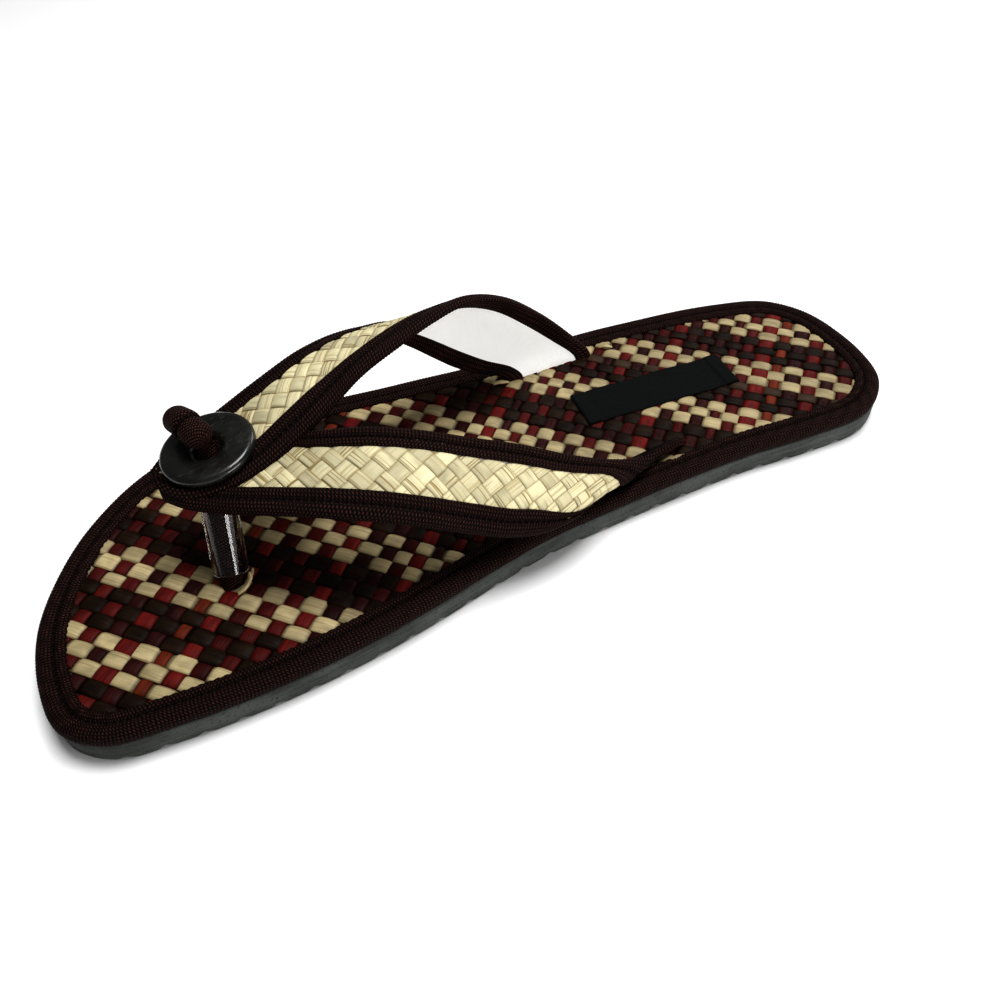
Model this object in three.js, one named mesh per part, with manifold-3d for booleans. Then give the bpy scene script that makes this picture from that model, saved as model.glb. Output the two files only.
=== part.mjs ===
// A woven flip-flop for the right foot, in millimetres.
// X points to the toes, Y to the inner side of the foot and Z up. The origin is under the middle of the sole.

import * as THREE from 'three';
import { mergeVertices } from 'three/addons/utils/BufferGeometryUtils.js';
import Module from 'manifold-3d';

const wasm = await Module();
wasm.setup();

// Driving sizes
const soleThickness = 6.6;
const soleInset = 0.2;
const grooveDepth = 1.3;
const groovePitch = 9;
const grooveWidth = 4.2;
const groovesEndX = 117;
const layerGap = 0.3;
const matBoardThickness = 1.9;
const weaveRelief = 0.5;
const weaveSheetThickness = 0.6;
const bindingWidth = 7.6;
const bindingWrap = 2.3;
const bindingRise = 1.3;
const outlineSteps = 76;
const strapWall = 2.0;
const strapBindingStep = 0.7;
const strapWeaveRelief = 0.5;
const strapBindingWidth = 6;
const strapEdgeDrop = 0.6;
const slotWidth = 3.8;
const slotEndClearance = 0.8;
const slotDepth = 8;
const cordRadius = 2.7;
const cordHoleRadius = 3.1;
const tubeInnerRadius = 3.1;
const tubeOuterRadius = 4.3;
const tubeFoot = 2.6;
const tubeHead = 24.5;
const roundSides = 20;
const buttonRadius = 12.2;
const buttonThickness = 3;
const buttonEdge = 1;
const buttonSides = 32;
const knotRadius = 4.2;
const label = { length: 52.5, width: 14.8, thickness: 0.6, x: -60, y: 5.3, turn: -8 };

// Heights of the layers, worked up from the floor
const matBottom = soleThickness + layerGap;
const matBoardTop = matBottom + matBoardThickness;
const matTop = matBoardTop + weaveRelief;
const bindingTop = matTop + bindingRise;

// Sole outline, seen from above, as stations from the heel round the inner side to the toes and back
const outlineStations = [
  { x: -130.0, y: 8.5 },
  { x: -128.6, y: 24.5 },
  { x: -122.8, y: 38.4 },
  { x: -110.0, y: 46.4 },
  { x: -90.0, y: 45.8 },
  { x: -68.0, y: 42.5 },
  { x: -44.0, y: 40.9 },
  { x: -22.0, y: 40.1 },
  { x: -2.0, y: 39.9 },
  { x: 18.0, y: 42.0 },
  { x: 40.0, y: 44.9 },
  { x: 60.0, y: 46.6 },
  { x: 85.0, y: 46.4 },
  { x: 105.0, y: 44.2 },
  { x: 119.2, y: 41.2 },
  { x: 127.6, y: 33.2 },
  { x: 130.0, y: 19.0 },
  { x: 127.8, y: 3.2 },
  { x: 121.0, y: -12.0 },
  { x: 109.2, y: -27.3 },
  { x: 94.6, y: -38.9 },
  { x: 76.0, y: -45.9 },
  { x: 56.0, y: -46.8 },
  { x: 34.0, y: -44.6 },
  { x: 10.0, y: -40.2 },
  { x: -20.0, y: -34.8 },
  { x: -52.0, y: -32.3 },
  { x: -82.0, y: -27.2 },
  { x: -105.0, y: -21.3 },
  { x: -120.6, y: -14.0 },
  { x: -127.9, y: -3.6 },
];

// Weave of the footbed: the warp and weft strips lie on the bias and cross one over one
const matWeave = {
  weftAngle: THREE.MathUtils.degToRad(131),
  pitchAlongWeft: 5.04,
  pitchAlongWarp: 4.32,
  originX: 106.8,
  originY: -5.9,
};

// Straps. Each row is one section across the strap, from the V at the toes down to the slot in the footbed:
// the front edge, the rear edge, both with heights above the footbed, and how far the middle is crowned
const innerStrapSections = [
  { fx: 87.0, fy: 0.0, fz: 25.8, rx: 86.0, ry: -7.0, rz: 25.8, crown: 0.2 },
  { fx: 83.0, fy: 6.2, fz: 26.2, rx: 74.5, ry: -14.4, rz: 26.0, crown: 0.4 },
  { fx: 75.5, fy: 13.2, fz: 26.8, rx: 64.9, ry: -10.6, rz: 26.8, crown: 0.6 },
  { fx: 66.2, fy: 20.8, fz: 28.0, rx: 55.7, ry: -4.1, rz: 28.6, crown: 1.0 },
  { fx: 54.7, fy: 28.7, fz: 27.6, rx: 45.7, ry: 5.6, rz: 32.8, crown: 1.2 },
  { fx: 43.7, fy: 34.1, fz: 24.9, rx: 36.0, ry: 11.9, rz: 34.2, crown: 1.4 },
  { fx: 33.8, fy: 37.9, fz: 20.8, rx: 25.1, ry: 16.0, rz: 31.3, crown: 1.5 },
  { fx: 23.5, fy: 40.4, fz: 14.8, rx: 12.0, ry: 20.6, rz: 26.0, crown: 1.6 },
  { fx: 14.0, fy: 42.7, fz: 9.9, rx: -1.0, ry: 25.4, rz: 20.8, crown: 1.8 },
  { fx: 4.0, fy: 44.0, fz: 6.9, rx: -12.5, ry: 29.0, rz: 14.6, crown: 2.0 },
  { fx: -7.0, fy: 42.8, fz: 5.6, rx: -25.0, ry: 32.2, rz: 9.2, crown: 2.0 },
  { fx: -16.0, fy: 38.0, fz: 4.8, rx: -38.0, ry: 33.0, rz: 4.8, crown: 1.6 },
  { fx: -21.2, fy: 32.4, fz: 3.2, rx: -50.0, ry: 31.2, rz: 2.8, crown: 0.6 },
  { fx: -22.4, fy: 30.7, fz: 0.8, rx: -53.2, ry: 30.1, rz: 0.6, crown: 0.1 },
  { fx: -22.5, fy: 30.6, fz: -1.9, rx: -53.5, ry: 30.0, rz: -1.9, crown: 0 },
];
const outerStrapSections = [
  { fx: 87.0, fy: -8.5, fz: 27.4, rx: 87.0, ry: -1.0, rz: 27.4, crown: 0.2 },
  { fx: 83.0, fy: -12.6, fz: 27.6, rx: 82.5, ry: 5.4, rz: 27.6, crown: 0.4 },
  { fx: 75.8, fy: -16.6, fz: 28.0, rx: 73.5, ry: 8.2, rz: 28.2, crown: 0.6 },
  { fx: 65.8, fy: -19.6, fz: 29.9, rx: 62.8, ry: 7.6, rz: 29.6, crown: 1.0 },
  { fx: 53.4, fy: -20.6, fz: 34.4, rx: 51.6, ry: 4.8, rz: 32.6, crown: 1.4 },
  { fx: 40.4, fy: -24.1, fz: 36.2, rx: 41.5, ry: 1.2, rz: 35.6, crown: 1.8 },
  { fx: 27.6, fy: -27.0, fz: 35.0, rx: 30.4, ry: -4.0, rz: 38.4, crown: 2.4 },
  { fx: 16.6, fy: -28.9, fz: 30.6, rx: 17.2, ry: -9.1, rz: 39.6, crown: 3.2 },
  { fx: 8.0, fy: -29.8, fz: 23.2, rx: 4.5, ry: -13.9, rz: 40.1, crown: 3.8 },
  { fx: 0.9, fy: -29.4, fz: 16.1, rx: -8.1, ry: -18.0, rz: 39.2, crown: 3.6 },
  { fx: -5.5, fy: -28.8, fz: 10.0, rx: -21.4, ry: -21.4, rz: 32.7, crown: 2.6 },
  { fx: -12.5, fy: -27.6, fz: 5.0, rx: -34.6, ry: -23.8, rz: 21.3, crown: 1.4 },
  { fx: -19.2, fy: -25.4, fz: 2.6, rx: -45.5, ry: -23.6, rz: 9.6, crown: 0.7 },
  { fx: -21.8, fy: -24.1, fz: 0.6, rx: -52.0, ry: -22.1, rz: 1.6, crown: 0.1 },
  { fx: -22.0, fy: -23.9, fz: -1.9, rx: -53.0, ry: -21.8, rz: -1.9, crown: 0 },
];

// Toe cord: it leans to the outer side on its way from the footbed to the button
const cordFoot = new THREE.Vector3(79.4, 10.9, matTop);
const cordHead = new THREE.Vector3(72.6, -4.9, matTop + 31.2);
const cordDirection = cordHead.clone().sub(cordFoot).normalize();
const buttonTilt = THREE.MathUtils.degToRad(7);
// The knot's turn over the button, as steps from the cord's head
const knotTurn = [
  { x: 0.4, y: 1.4, z: 5.0 },
  { x: 2.0, y: -3.2, z: 6.3 },
  { x: 4.0, y: -7.8, z: 5.8 },
];

// Turn a closed three.js geometry into a solid that can be joined and cut
function toSolid(geometry) {
  const source = geometry.index ? geometry.toNonIndexed() : geometry.clone();
  for (const name of Object.keys(source.attributes)) {
    if (name !== 'position') source.deleteAttribute(name);
  }
  const merged = mergeVertices(source, 1e-4);
  const mesh = new wasm.Mesh({
    numProp: 3,
    vertProperties: new Float32Array(merged.attributes.position.array),
    triVerts: new Uint32Array(merged.index.array),
  });
  return new wasm.Manifold(mesh);
}

function toGeometry(solid) {
  const mesh = solid.getMesh();
  const geometry = new THREE.BufferGeometry();
  geometry.setAttribute('position', new THREE.BufferAttribute(new Float32Array(mesh.vertProperties), 3));
  geometry.setIndex(new THREE.BufferAttribute(new Uint32Array(mesh.triVerts), 1));
  geometry.computeVertexNormals();
  return geometry;
}

// Close a row of sections, each a ring of points, into one skin. Rings run anticlockwise about the direction
// of travel. An open row gets a flat cap at each end.
function skin(rings, closed) {
  const perRing = rings[0].length;
  const positions = rings.flat().flatMap((point) => [point.x, point.y, point.z]);
  const index = [];
  const spans = closed ? rings.length : rings.length - 1;
  for (let i = 0; i < spans; i += 1) {
    const next = (i + 1) % rings.length;
    for (let j = 0; j < perRing; j += 1) {
      const k = (j + 1) % perRing;
      const a = i * perRing + j;
      const b = i * perRing + k;
      const c = next * perRing + k;
      const d = next * perRing + j;
      index.push(a, b, c, a, c, d);
    }
  }
  if (!closed) {
    const last = (rings.length - 1) * perRing;
    const half = perRing / 2;
    for (let j = 0; j < half - 1; j += 1) {
      const opposite = perRing - 1 - j;
      index.push(j, opposite, j + 1, j + 1, opposite, opposite - 1);
      index.push(last + j, last + j + 1, last + opposite);
      index.push(last + j + 1, last + opposite - 1, last + opposite);
    }
  }
  const geometry = new THREE.BufferGeometry();
  geometry.setAttribute('position', new THREE.Float32BufferAttribute(positions, 3));
  geometry.setIndex(index);
  return geometry;
}

// The outline as a smooth closed curve, with its inward direction at each step
const outlineCurve = new THREE.CatmullRomCurve3(
  outlineStations.map((station) => new THREE.Vector3(station.x, station.y, 0)),
  true,
  'centripetal',
);

function outlineStep(index) {
  const share = index / outlineSteps;
  const point = outlineCurve.getPointAt(share);
  const tangent = outlineCurve.getTangentAt(share);
  return { point, inward: new THREE.Vector3(tangent.y, -tangent.x, 0).normalize() };
}

function outlinePoints(inset) {
  const points = [];
  for (let i = 0; i < outlineSteps; i += 1) {
    const { point, inward } = outlineStep(i);
    points.push(new THREE.Vector2(point.x + inward.x * inset, point.y + inward.y * inset));
  }
  return points;
}

function outlinePlate(inset, bottom, top) {
  const shape = new THREE.Shape(outlinePoints(inset));
  const plate = new THREE.ExtrudeGeometry(shape, { depth: top - bottom, bevelEnabled: false });
  plate.translate(0, 0, bottom);
  return toSolid(plate);
}

// Outsole: a plate whose underside is cut by rounded grooves, which scallop its lower edge
function makeOutsole() {
  let sole = outlinePlate(soleInset, 0, soleThickness);
  const reach = 60;
  const groove = new THREE.Shape();
  groove.moveTo(-grooveWidth / 2, -1);
  groove.lineTo(grooveWidth / 2, -1);
  groove.lineTo(grooveWidth / 2, 0);
  groove.quadraticCurveTo(grooveWidth / 4, grooveDepth, 0, grooveDepth);
  groove.quadraticCurveTo(-grooveWidth / 4, grooveDepth, -grooveWidth / 2, 0);
  for (let x = -groovesEndX; x <= groovesEndX; x += groovePitch) {
    const across = { depth: 2 * reach, bevelEnabled: false, curveSegments: 3 };
    const bar = new THREE.ExtrudeGeometry(groove, across);
    bar.rotateX(Math.PI / 2);
    bar.translate(x, reach, 0);
    sole = sole.subtract(toSolid(bar));
  }
  return toGeometry(sole);
}

// A slot through the footbed under the end of a strap, from that strap's last section
function strapSlot(sections) {
  const end = sections[sections.length - 1];
  const length = Math.hypot(end.fx - end.rx, end.fy - end.ry) + 2 * slotEndClearance;
  const box = new THREE.BoxGeometry(length, slotWidth, slotDepth);
  box.rotateZ(Math.atan2(end.fy - end.ry, end.fx - end.rx));
  const middleOfWall = (strapWall - strapBindingStep) / 2;
  const middleY = (end.fy + end.ry) / 2;
  box.translate((end.fx + end.rx) / 2, middleY - Math.sign(middleY) * middleOfWall, matBoardTop);
  return toSolid(box);
}

// A round bar or bore along the toe cord, between two distances from the cord's foot
function alongCord(radius, from, to, sides) {
  const bar = new THREE.CylinderGeometry(radius, radius, to - from, sides);
  bar.translate(0, (from + to) / 2, 0);
  bar.applyQuaternion(new THREE.Quaternion().setFromUnitVectors(new THREE.Vector3(0, 1, 0), cordDirection));
  bar.translate(cordFoot.x, cordFoot.y, cordFoot.z);
  return toSolid(bar);
}

// Footbed mat: a board with one low pyramid for each weft strip where it passes over the warp
function makeFootbedMat() {
  const alongWeft = new THREE.Vector3(Math.cos(matWeave.weftAngle), Math.sin(matWeave.weftAngle), 0);
  const alongWarp = new THREE.Vector3(-alongWeft.y, alongWeft.x, 0);
  const corner = (column, row, height) => new THREE.Vector3(matWeave.originX, matWeave.originY, height)
    .addScaledVector(alongWeft, column * matWeave.pitchAlongWeft)
    .addScaledVector(alongWarp, row * matWeave.pitchAlongWarp);
  const sheetBottom = matBoardTop - weaveSheetThickness;
  const columns = { from: -8, to: 44 };
  const rows = { from: -14, to: 46 };
  const positions = [];
  const face = (...points) => points.forEach((p) => positions.push(p.x, p.y, p.z));
  for (let c = columns.from; c < columns.to; c += 1) {
    for (let r = rows.from; r < rows.to; r += 1) {
      const raised = (c + r) % 2 === 0;
      const [a, b, d, e] = [[-0.5, -0.5], [0.5, -0.5], [0.5, 0.5], [-0.5, 0.5]]
        .map(([dc, dr]) => corner(c + dc, r + dr, matBoardTop));
      if (raised) {
        const peak = corner(c, r, matTop);
        face(a, b, peak);
        face(b, d, peak);
        face(d, e, peak);
        face(e, a, peak);
      } else {
        face(a, b, d);
        face(a, d, e);
      }
    }
  }
  const edge = (dc, dr, height) => corner(dc - 0.5, dr - 0.5, height);
  const middle = edge((columns.from + columns.to) / 2, (rows.from + rows.to) / 2, sheetBottom);
  const wall = (c0, r0, c1, r1) => {
    const low0 = edge(c0, r0, sheetBottom);
    const low1 = edge(c1, r1, sheetBottom);
    face(low0, low1, edge(c1, r1, matBoardTop));
    face(low0, edge(c1, r1, matBoardTop), edge(c0, r0, matBoardTop));
    face(low1, low0, middle);
  };
  for (let c = columns.from; c < columns.to; c += 1) {
    wall(c, rows.from, c + 1, rows.from);
    wall(c + 1, rows.to, c, rows.to);
  }
  for (let r = rows.from; r < rows.to; r += 1) {
    wall(columns.from, r + 1, columns.from, r);
    wall(columns.to, r, columns.to, r + 1);
  }
  const sheet = new THREE.BufferGeometry();
  sheet.setAttribute('position', new THREE.Float32BufferAttribute(positions, 3));
  const clearOfBinding = bindingWidth + layerGap;
  const weave = toSolid(sheet).intersect(outlinePlate(clearOfBinding, sheetBottom - 1, matTop + 1));
  const board = outlinePlate(bindingWrap + layerGap, matBottom, matBoardTop);
  let mat = board.add(weave);
  mat = mat.subtract(strapSlot(innerStrapSections));
  mat = mat.subtract(strapSlot(outerStrapSections));
  mat = mat.subtract(alongCord(cordHoleRadius, -12, 12, roundSides));
  return toGeometry(mat);
}

// Edge binding: a ribbon with two ribs and a groove, folded over the board's edge
function makeEdgeBinding() {
  const underside = matBoardTop + layerGap;
  const profile = [
    { inset: 0.2, height: matBottom },
    { inset: 0, height: bindingTop - 1.8 },
    { inset: 0.8, height: bindingTop - 0.6 },
    { inset: 2.2, height: bindingTop },
    { inset: bindingWidth - 4.2, height: bindingTop - 0.1 },
    { inset: bindingWidth - 3.4, height: bindingTop - 0.5 },
    { inset: bindingWidth - 2.6, height: bindingTop - 0.1 },
    { inset: bindingWidth - 0.7, height: bindingTop - 0.1 },
    { inset: bindingWidth, height: bindingTop - 0.7 },
    { inset: bindingWidth, height: underside },
    { inset: bindingWrap, height: underside },
    { inset: bindingWrap, height: matBottom },
  ];
  const rings = [];
  for (let i = 0; i < outlineSteps; i += 1) {
    const { point, inward } = outlineStep(i);
    rings.push(profile.map(({ inset, height }) => new THREE.Vector3(
      point.x + inward.x * inset,
      point.y + inward.y * inset,
      height,
    )));
  }
  return skin(rings, true);
}

// One strap between its two edge curves. The inner strap is the other way round to the outer one.
function makeStrap(sections, isInner) {
  const front = new THREE.CatmullRomCurve3(
    sections.map((s) => new THREE.Vector3(s.fx, s.fy, s.fz + matTop)), false, 'centripetal');
  const rear = new THREE.CatmullRomCurve3(
    sections.map((s) => new THREE.Vector3(s.rx, s.ry, s.rz + matTop)), false, 'centripetal');
  const stepsPerSection = 3;
  const steps = (sections.length - 1) * stepsPerSection;
  const crownAt = (share) => {
    const place = share * (sections.length - 1);
    const low = Math.min(Math.floor(place), sections.length - 2);
    return THREE.MathUtils.lerp(sections[low].crown, sections[low + 1].crown, place - low);
  };
  const chord = (share) => ({ front: front.getPoint(share), rear: rear.getPoint(share) });
  // Outward direction of the strap at a share of its length
  const outward = (share) => {
    const before = chord(Math.max(0, share - 0.02));
    const after = chord(Math.min(1, share + 0.02));
    const along = after.front.clone().add(after.rear).sub(before.front).sub(before.rear);
    const here = chord(share);
    const across = here.rear.clone().sub(here.front);
    return (isInner ? along.cross(across) : across.cross(along)).normalize();
  };
  const panelSteps = 4;
  const rings = [];
  for (let i = 0; i <= steps; i += 1) {
    const share = i / steps;
    const { front: f, rear: r } = chord(share);
    const width = f.distanceTo(r);
    const band = Math.min(strapBindingWidth / width, 0.3);
    const normal = outward(share);
    const crown = crownAt(share);
    const lift = (across, height) => f.clone().lerp(r, across)
      .addScaledVector(normal, crown * 4 * across * (1 - across) + height);
    const bound = strapBindingStep;
    const top = [lift(0, -strapEdgeDrop), lift(0.12 * band, bound), lift(0.92 * band, bound)];
    for (let j = 0; j <= panelSteps; j += 1) {
      const across = THREE.MathUtils.lerp(band, 1 - band, j / panelSteps);
      const raised = (i + j) % 2 === 0 ? strapWeaveRelief : 0;
      top.push(lift(across, raised));
    }
    top.push(lift(1 - 0.92 * band, bound), lift(1 - 0.12 * band, bound), lift(1, -strapEdgeDrop));
    const bottom = [];
    const undersidePoints = top.length - 2;
    for (let j = 0; j < undersidePoints; j += 1) {
      const across = THREE.MathUtils.lerp(0.985, 0.015, j / (undersidePoints - 1));
      bottom.push(lift(across, -strapWall));
    }
    bottom.unshift(lift(1, -strapWall + 0.4));
    bottom.push(lift(0, -strapWall + 0.4));
    const ring = [...top, ...bottom];
    rings.push(isInner ? ring.reverse() : ring);
  }
  return toSolid(skin(rings, false));
}

// A flat round disc seated on the V, turned with the straps' slope
function buttonBlank(radius, thickness, edge) {
  const half = thickness / 2;
  const profile = [
    new THREE.Vector2(0, -half),
    new THREE.Vector2(radius - edge, -half),
    new THREE.Vector2(radius, -half + edge * 0.7),
    new THREE.Vector2(radius, half - edge * 0.9),
    new THREE.Vector2(radius - edge, half - edge * 0.2),
    new THREE.Vector2(0, half),
  ];
  const disc = new THREE.LatheGeometry(profile, buttonSides);
  disc.rotateX(Math.PI / 2);
  disc.rotateY(buttonTilt);
  disc.translate(cordHead.x, cordHead.y, cordHead.z);
  return toSolid(disc);
}

function makeStrapUpper() {
  let straps = makeStrap(innerStrapSections, true).add(makeStrap(outerStrapSections, false));
  // Where the straps lie on each other they are one wall, so only the outer shell of the join is kept
  straps = straps.decompose().sort((a, b) => b.volume() - a.volume())[0];
  const seatThickness = buttonThickness + 2 * layerGap;
  straps = straps.subtract(buttonBlank(buttonRadius + layerGap, seatThickness, buttonEdge / 2));
  straps = straps.subtract(alongCord(cordHoleRadius, 10, 50, roundSides));
  return toGeometry(straps);
}

function makeToeButton() {
  const disc = buttonBlank(buttonRadius, buttonThickness, buttonEdge);
  return toGeometry(disc.subtract(alongCord(cordHoleRadius, 20, 50, roundSides)));
}

// Toe cord: a ribbon rolled into a cord, with its end turned over into a knot on the button
function makeToeCord() {
  const headLength = cordHead.distanceTo(cordFoot);
  const shaft = alongCord(cordRadius, -1.6, headLength + 3.5, 14);
  const turn = new THREE.CatmullRomCurve3(
    knotTurn.map((step) => cordHead.clone().add(new THREE.Vector3(step.x, step.y, step.z))));
  const circle = new THREE.Shape();
  circle.absarc(0, 0, knotRadius, 0, 2 * Math.PI, false);
  const roll = { steps: 6, extrudePath: turn, curveSegments: 7, bevelEnabled: false };
  const knot = new THREE.ExtrudeGeometry(circle, roll);
  return toGeometry(shaft.add(toSolid(knot)));
}

function makeToeTube() {
  const sleeve = alongCord(tubeOuterRadius, tubeFoot, tubeHead, roundSides);
  return toGeometry(sleeve.subtract(alongCord(tubeInnerRadius, tubeFoot - 2, tubeHead + 2, roundSides)));
}

// Label: a flat patch that lies on the weave near the heel
function makeLabel() {
  const patch = new THREE.BoxGeometry(label.length, label.width, label.thickness, 6, 1, 1);
  patch.rotateZ(THREE.MathUtils.degToRad(label.turn));
  patch.translate(label.x, label.y, matTop + layerGap + label.thickness / 2);
  return patch;
}

const colours = {
  outsole: { color: 0x4b504e, roughness: 0.85, metalness: 0 },
  ribbon: { color: 0x2c1813, roughness: 0.8, metalness: 0 },
  mat: { color: 0x6b2a22, roughness: 0.6, metalness: 0 },
  strap: { color: 0xdccb98, roughness: 0.6, metalness: 0 },
  clear: { color: 0xd9dcd8, roughness: 0.1, metalness: 0 },
  button: { color: 0x14100f, roughness: 0.2, metalness: 0 },
  label: { color: 0x0c0d0f, roughness: 0.75, metalness: 0 },
};

function piece(name, geometry, finish) {
  const mesh = new THREE.Mesh(geometry, new THREE.MeshStandardMaterial(finish));
  mesh.name = name;
  return mesh;
}

const flipFlop = new THREE.Group();
flipFlop.name = 'woven_flip_flop';
flipFlop.add(piece('outsole', makeOutsole(), colours.outsole));
flipFlop.add(piece('footbed_mat', makeFootbedMat(), colours.mat));
flipFlop.add(piece('edge_binding', makeEdgeBinding(), colours.ribbon));
flipFlop.add(piece('strap_upper', makeStrapUpper(), colours.strap));
flipFlop.add(piece('toe_cord', makeToeCord(), colours.ribbon));
flipFlop.add(piece('toe_tube', makeToeTube(), colours.clear));
flipFlop.add(piece('toe_button', makeToeButton(), colours.button));
flipFlop.add(piece('footbed_label', makeLabel(), colours.label));

export default flipFlop;
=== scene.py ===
"""A woven flip-flop for the right foot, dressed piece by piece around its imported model."""

import math
import random

import bmesh
import bpy
from mathutils import Matrix, Vector


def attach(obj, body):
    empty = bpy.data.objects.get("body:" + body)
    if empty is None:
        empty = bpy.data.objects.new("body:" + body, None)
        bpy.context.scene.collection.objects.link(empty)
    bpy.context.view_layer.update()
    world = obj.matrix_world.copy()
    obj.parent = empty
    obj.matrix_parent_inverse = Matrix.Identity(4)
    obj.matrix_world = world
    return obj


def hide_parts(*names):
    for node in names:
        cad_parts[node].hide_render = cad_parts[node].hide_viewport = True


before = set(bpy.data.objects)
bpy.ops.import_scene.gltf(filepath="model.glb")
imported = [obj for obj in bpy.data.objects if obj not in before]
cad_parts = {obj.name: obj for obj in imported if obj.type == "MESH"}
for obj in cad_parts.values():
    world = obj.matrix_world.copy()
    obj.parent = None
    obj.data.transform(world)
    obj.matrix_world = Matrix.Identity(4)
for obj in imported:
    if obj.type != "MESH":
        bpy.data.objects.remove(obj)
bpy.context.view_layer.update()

bl_info = {
    "name": "Woven flip-flop",
    "version": (1, 0, 0),
    "blender": (4, 5, 0),
    "location": "3D View > Sidebar > Flip-flop",
    "description": "Weaves, binds and assembles a flip-flop with a woven footbed",
    "category": "Add Mesh",
}

MM = 0.001

# Heights of the layers over the floor, in mm
MAT_BOTTOM = 6.9
BOARD_TOP = 8.8
MAT_TOP = 9.3
BINDING_TOP = 10.6

# Outline of the sole seen from above: x, y in mm, from the heel round the inner side
OUTLINE = (
    (-130.0, 8.5), (-128.6, 24.5), (-122.8, 38.4), (-110.0, 46.4), (-90.0, 45.8), (-68.0, 42.5),
    (-44.0, 40.9), (-22.0, 40.1), (-2.0, 39.9), (18.0, 42.0), (40.0, 44.9), (60.0, 46.6),
    (85.0, 46.4), (105.0, 44.2), (119.2, 41.2), (127.6, 33.2), (130.0, 19.0), (127.8, 3.2),
    (121.0, -12.0), (109.2, -27.3), (94.6, -38.9), (76.0, -45.9), (56.0, -46.8), (34.0, -44.6),
    (10.0, -40.2), (-20.0, -34.8), (-52.0, -32.3), (-82.0, -27.2), (-105.0, -21.3), (-120.6, -14.0),
    (-127.9, -3.6),
)

# Straps: front edge x, y, height over the mat; rear edge x, y, height over the mat; crown. In mm,
# from the V at the toes down to the slot in the footbed
INNER_SECTIONS = (
    (87.0, 0.0, 25.8, 86.0, -7.0, 25.8, 0.2),
    (83.0, 6.2, 26.2, 74.5, -14.4, 26.0, 0.4),
    (75.5, 13.2, 26.8, 64.9, -10.6, 26.8, 0.6),
    (66.2, 20.8, 28.0, 55.7, -4.1, 28.6, 1.0),
    (54.7, 28.7, 27.6, 45.7, 5.6, 32.8, 1.2),
    (43.7, 34.1, 24.9, 36.0, 11.9, 34.2, 1.4),
    (33.8, 37.9, 20.8, 25.1, 16.0, 31.3, 1.5),
    (23.5, 40.4, 14.8, 12.0, 20.6, 26.0, 1.6),
    (14.0, 42.7, 9.9, -1.0, 25.4, 20.8, 1.8),
    (4.0, 44.0, 6.9, -12.5, 29.0, 14.6, 2.0),
    (-7.0, 42.8, 5.6, -25.0, 32.2, 9.2, 2.0),
    (-16.0, 38.0, 4.8, -38.0, 33.0, 4.8, 1.6),
    (-21.2, 32.4, 3.2, -50.0, 31.2, 2.8, 0.6),
    (-22.4, 30.7, 0.8, -53.2, 30.1, 0.6, 0.1),
    (-22.5, 30.6, -1.9, -53.5, 30.0, -1.9, 0.0),
)
OUTER_SECTIONS = (
    (87.0, -8.5, 27.4, 87.0, -1.0, 27.4, 0.2),
    (83.0, -12.6, 27.6, 82.5, 5.4, 27.6, 0.4),
    (75.8, -16.6, 28.0, 73.5, 8.2, 28.2, 0.6),
    (65.8, -19.6, 29.9, 62.8, 7.6, 29.6, 1.0),
    (53.4, -20.6, 34.4, 51.6, 4.8, 32.6, 1.4),
    (40.4, -24.1, 36.2, 41.5, 1.2, 35.6, 1.8),
    (27.6, -27.0, 35.0, 30.4, -4.0, 38.4, 2.4),
    (16.6, -28.9, 30.6, 17.2, -9.1, 39.6, 3.2),
    (8.0, -29.8, 23.2, 4.5, -13.9, 40.1, 3.8),
    (0.9, -29.4, 16.1, -8.1, -18.0, 39.2, 3.6),
    (-5.5, -28.8, 10.0, -21.4, -21.4, 32.7, 2.6),
    (-12.5, -27.6, 5.0, -34.6, -23.8, 21.3, 1.4),
    (-19.2, -25.4, 2.6, -45.5, -23.6, 9.6, 0.7),
    (-21.8, -24.1, 0.6, -52.0, -22.1, 1.6, 0.1),
    (-22.0, -23.9, -1.9, -53.0, -21.8, -1.9, 0.0),
)

# Toe cord with its tube and button, in mm
CORD_FOOT = Vector((79.4, 10.9, MAT_TOP))
CORD_HEAD = Vector((72.6, -4.9, MAT_TOP + 31.2))
CORD_START = -1.6
KNOT_TURN = ((1.27, -0.12, 5.4), (2.5, -3.8, 6.1), (3.77, -7.5, 5.6))
TUBE_FOOT = 2.6
TUBE_HEAD = 24.5
TUBE_BORE = 3.75
BUTTON_BORE = 3.2
BUTTON_TILT = math.radians(7)

# Label, in mm
LABEL_LENGTH = 52.5
LABEL_WIDTH = 14.8
LABEL_FOLD = 5.0
LABEL_MIDDLE = Vector((-60.0, 5.3, MAT_TOP + 0.75))
LABEL_TURN = math.radians(-8)

# Lattice of the footbed's weave: column or row number and its distance from the first crossing, in mm
WEFT_ANGLE = math.radians(131)
WEFT_WAY = Vector((math.cos(WEFT_ANGLE), math.sin(WEFT_ANGLE), 0.0))
WARP_WAY = Vector((-WEFT_WAY.y, WEFT_WAY.x, 0.0))
FIRST_CROSSING = Vector((106.8, -5.9, 0.0))
COLUMNS = ((-12, -64.2), (0, 0.0), (12, 65.8), (19, 95.6), (29, 142.6), (35, 173.7), (46, 231.0))
ROWS = ((-16, -67.2), (0, 0.0), (12, 52.6), (20, 88.4), (24, 108.2), (30, 132.4), (48, 206.0))

# Dyes of the warp by letter, and the dye of each warp strip from the first column on
DYES = {"B": "bright_red", "R": "red", "D": "dark_red", "M": "maroon", "O": "rust"}
WARP_DYES = "MRMDRMMDRRMBMOBDRRBMMDBMRRMRMBMDBMRMDRBOMBMRMR"
WARP_FIRST = -8
WIDE_WARPS = (3, 13, 14, 24, 30, 32)
NARROW_WARPS = (5, 15, 20, 26, 28, 31)
# Weft strips come three pale and three dark, and one of the dark ones is lighter
WEFT_ROWS = range(-14, 47)
TAN_WEFTS = (29,)

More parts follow.
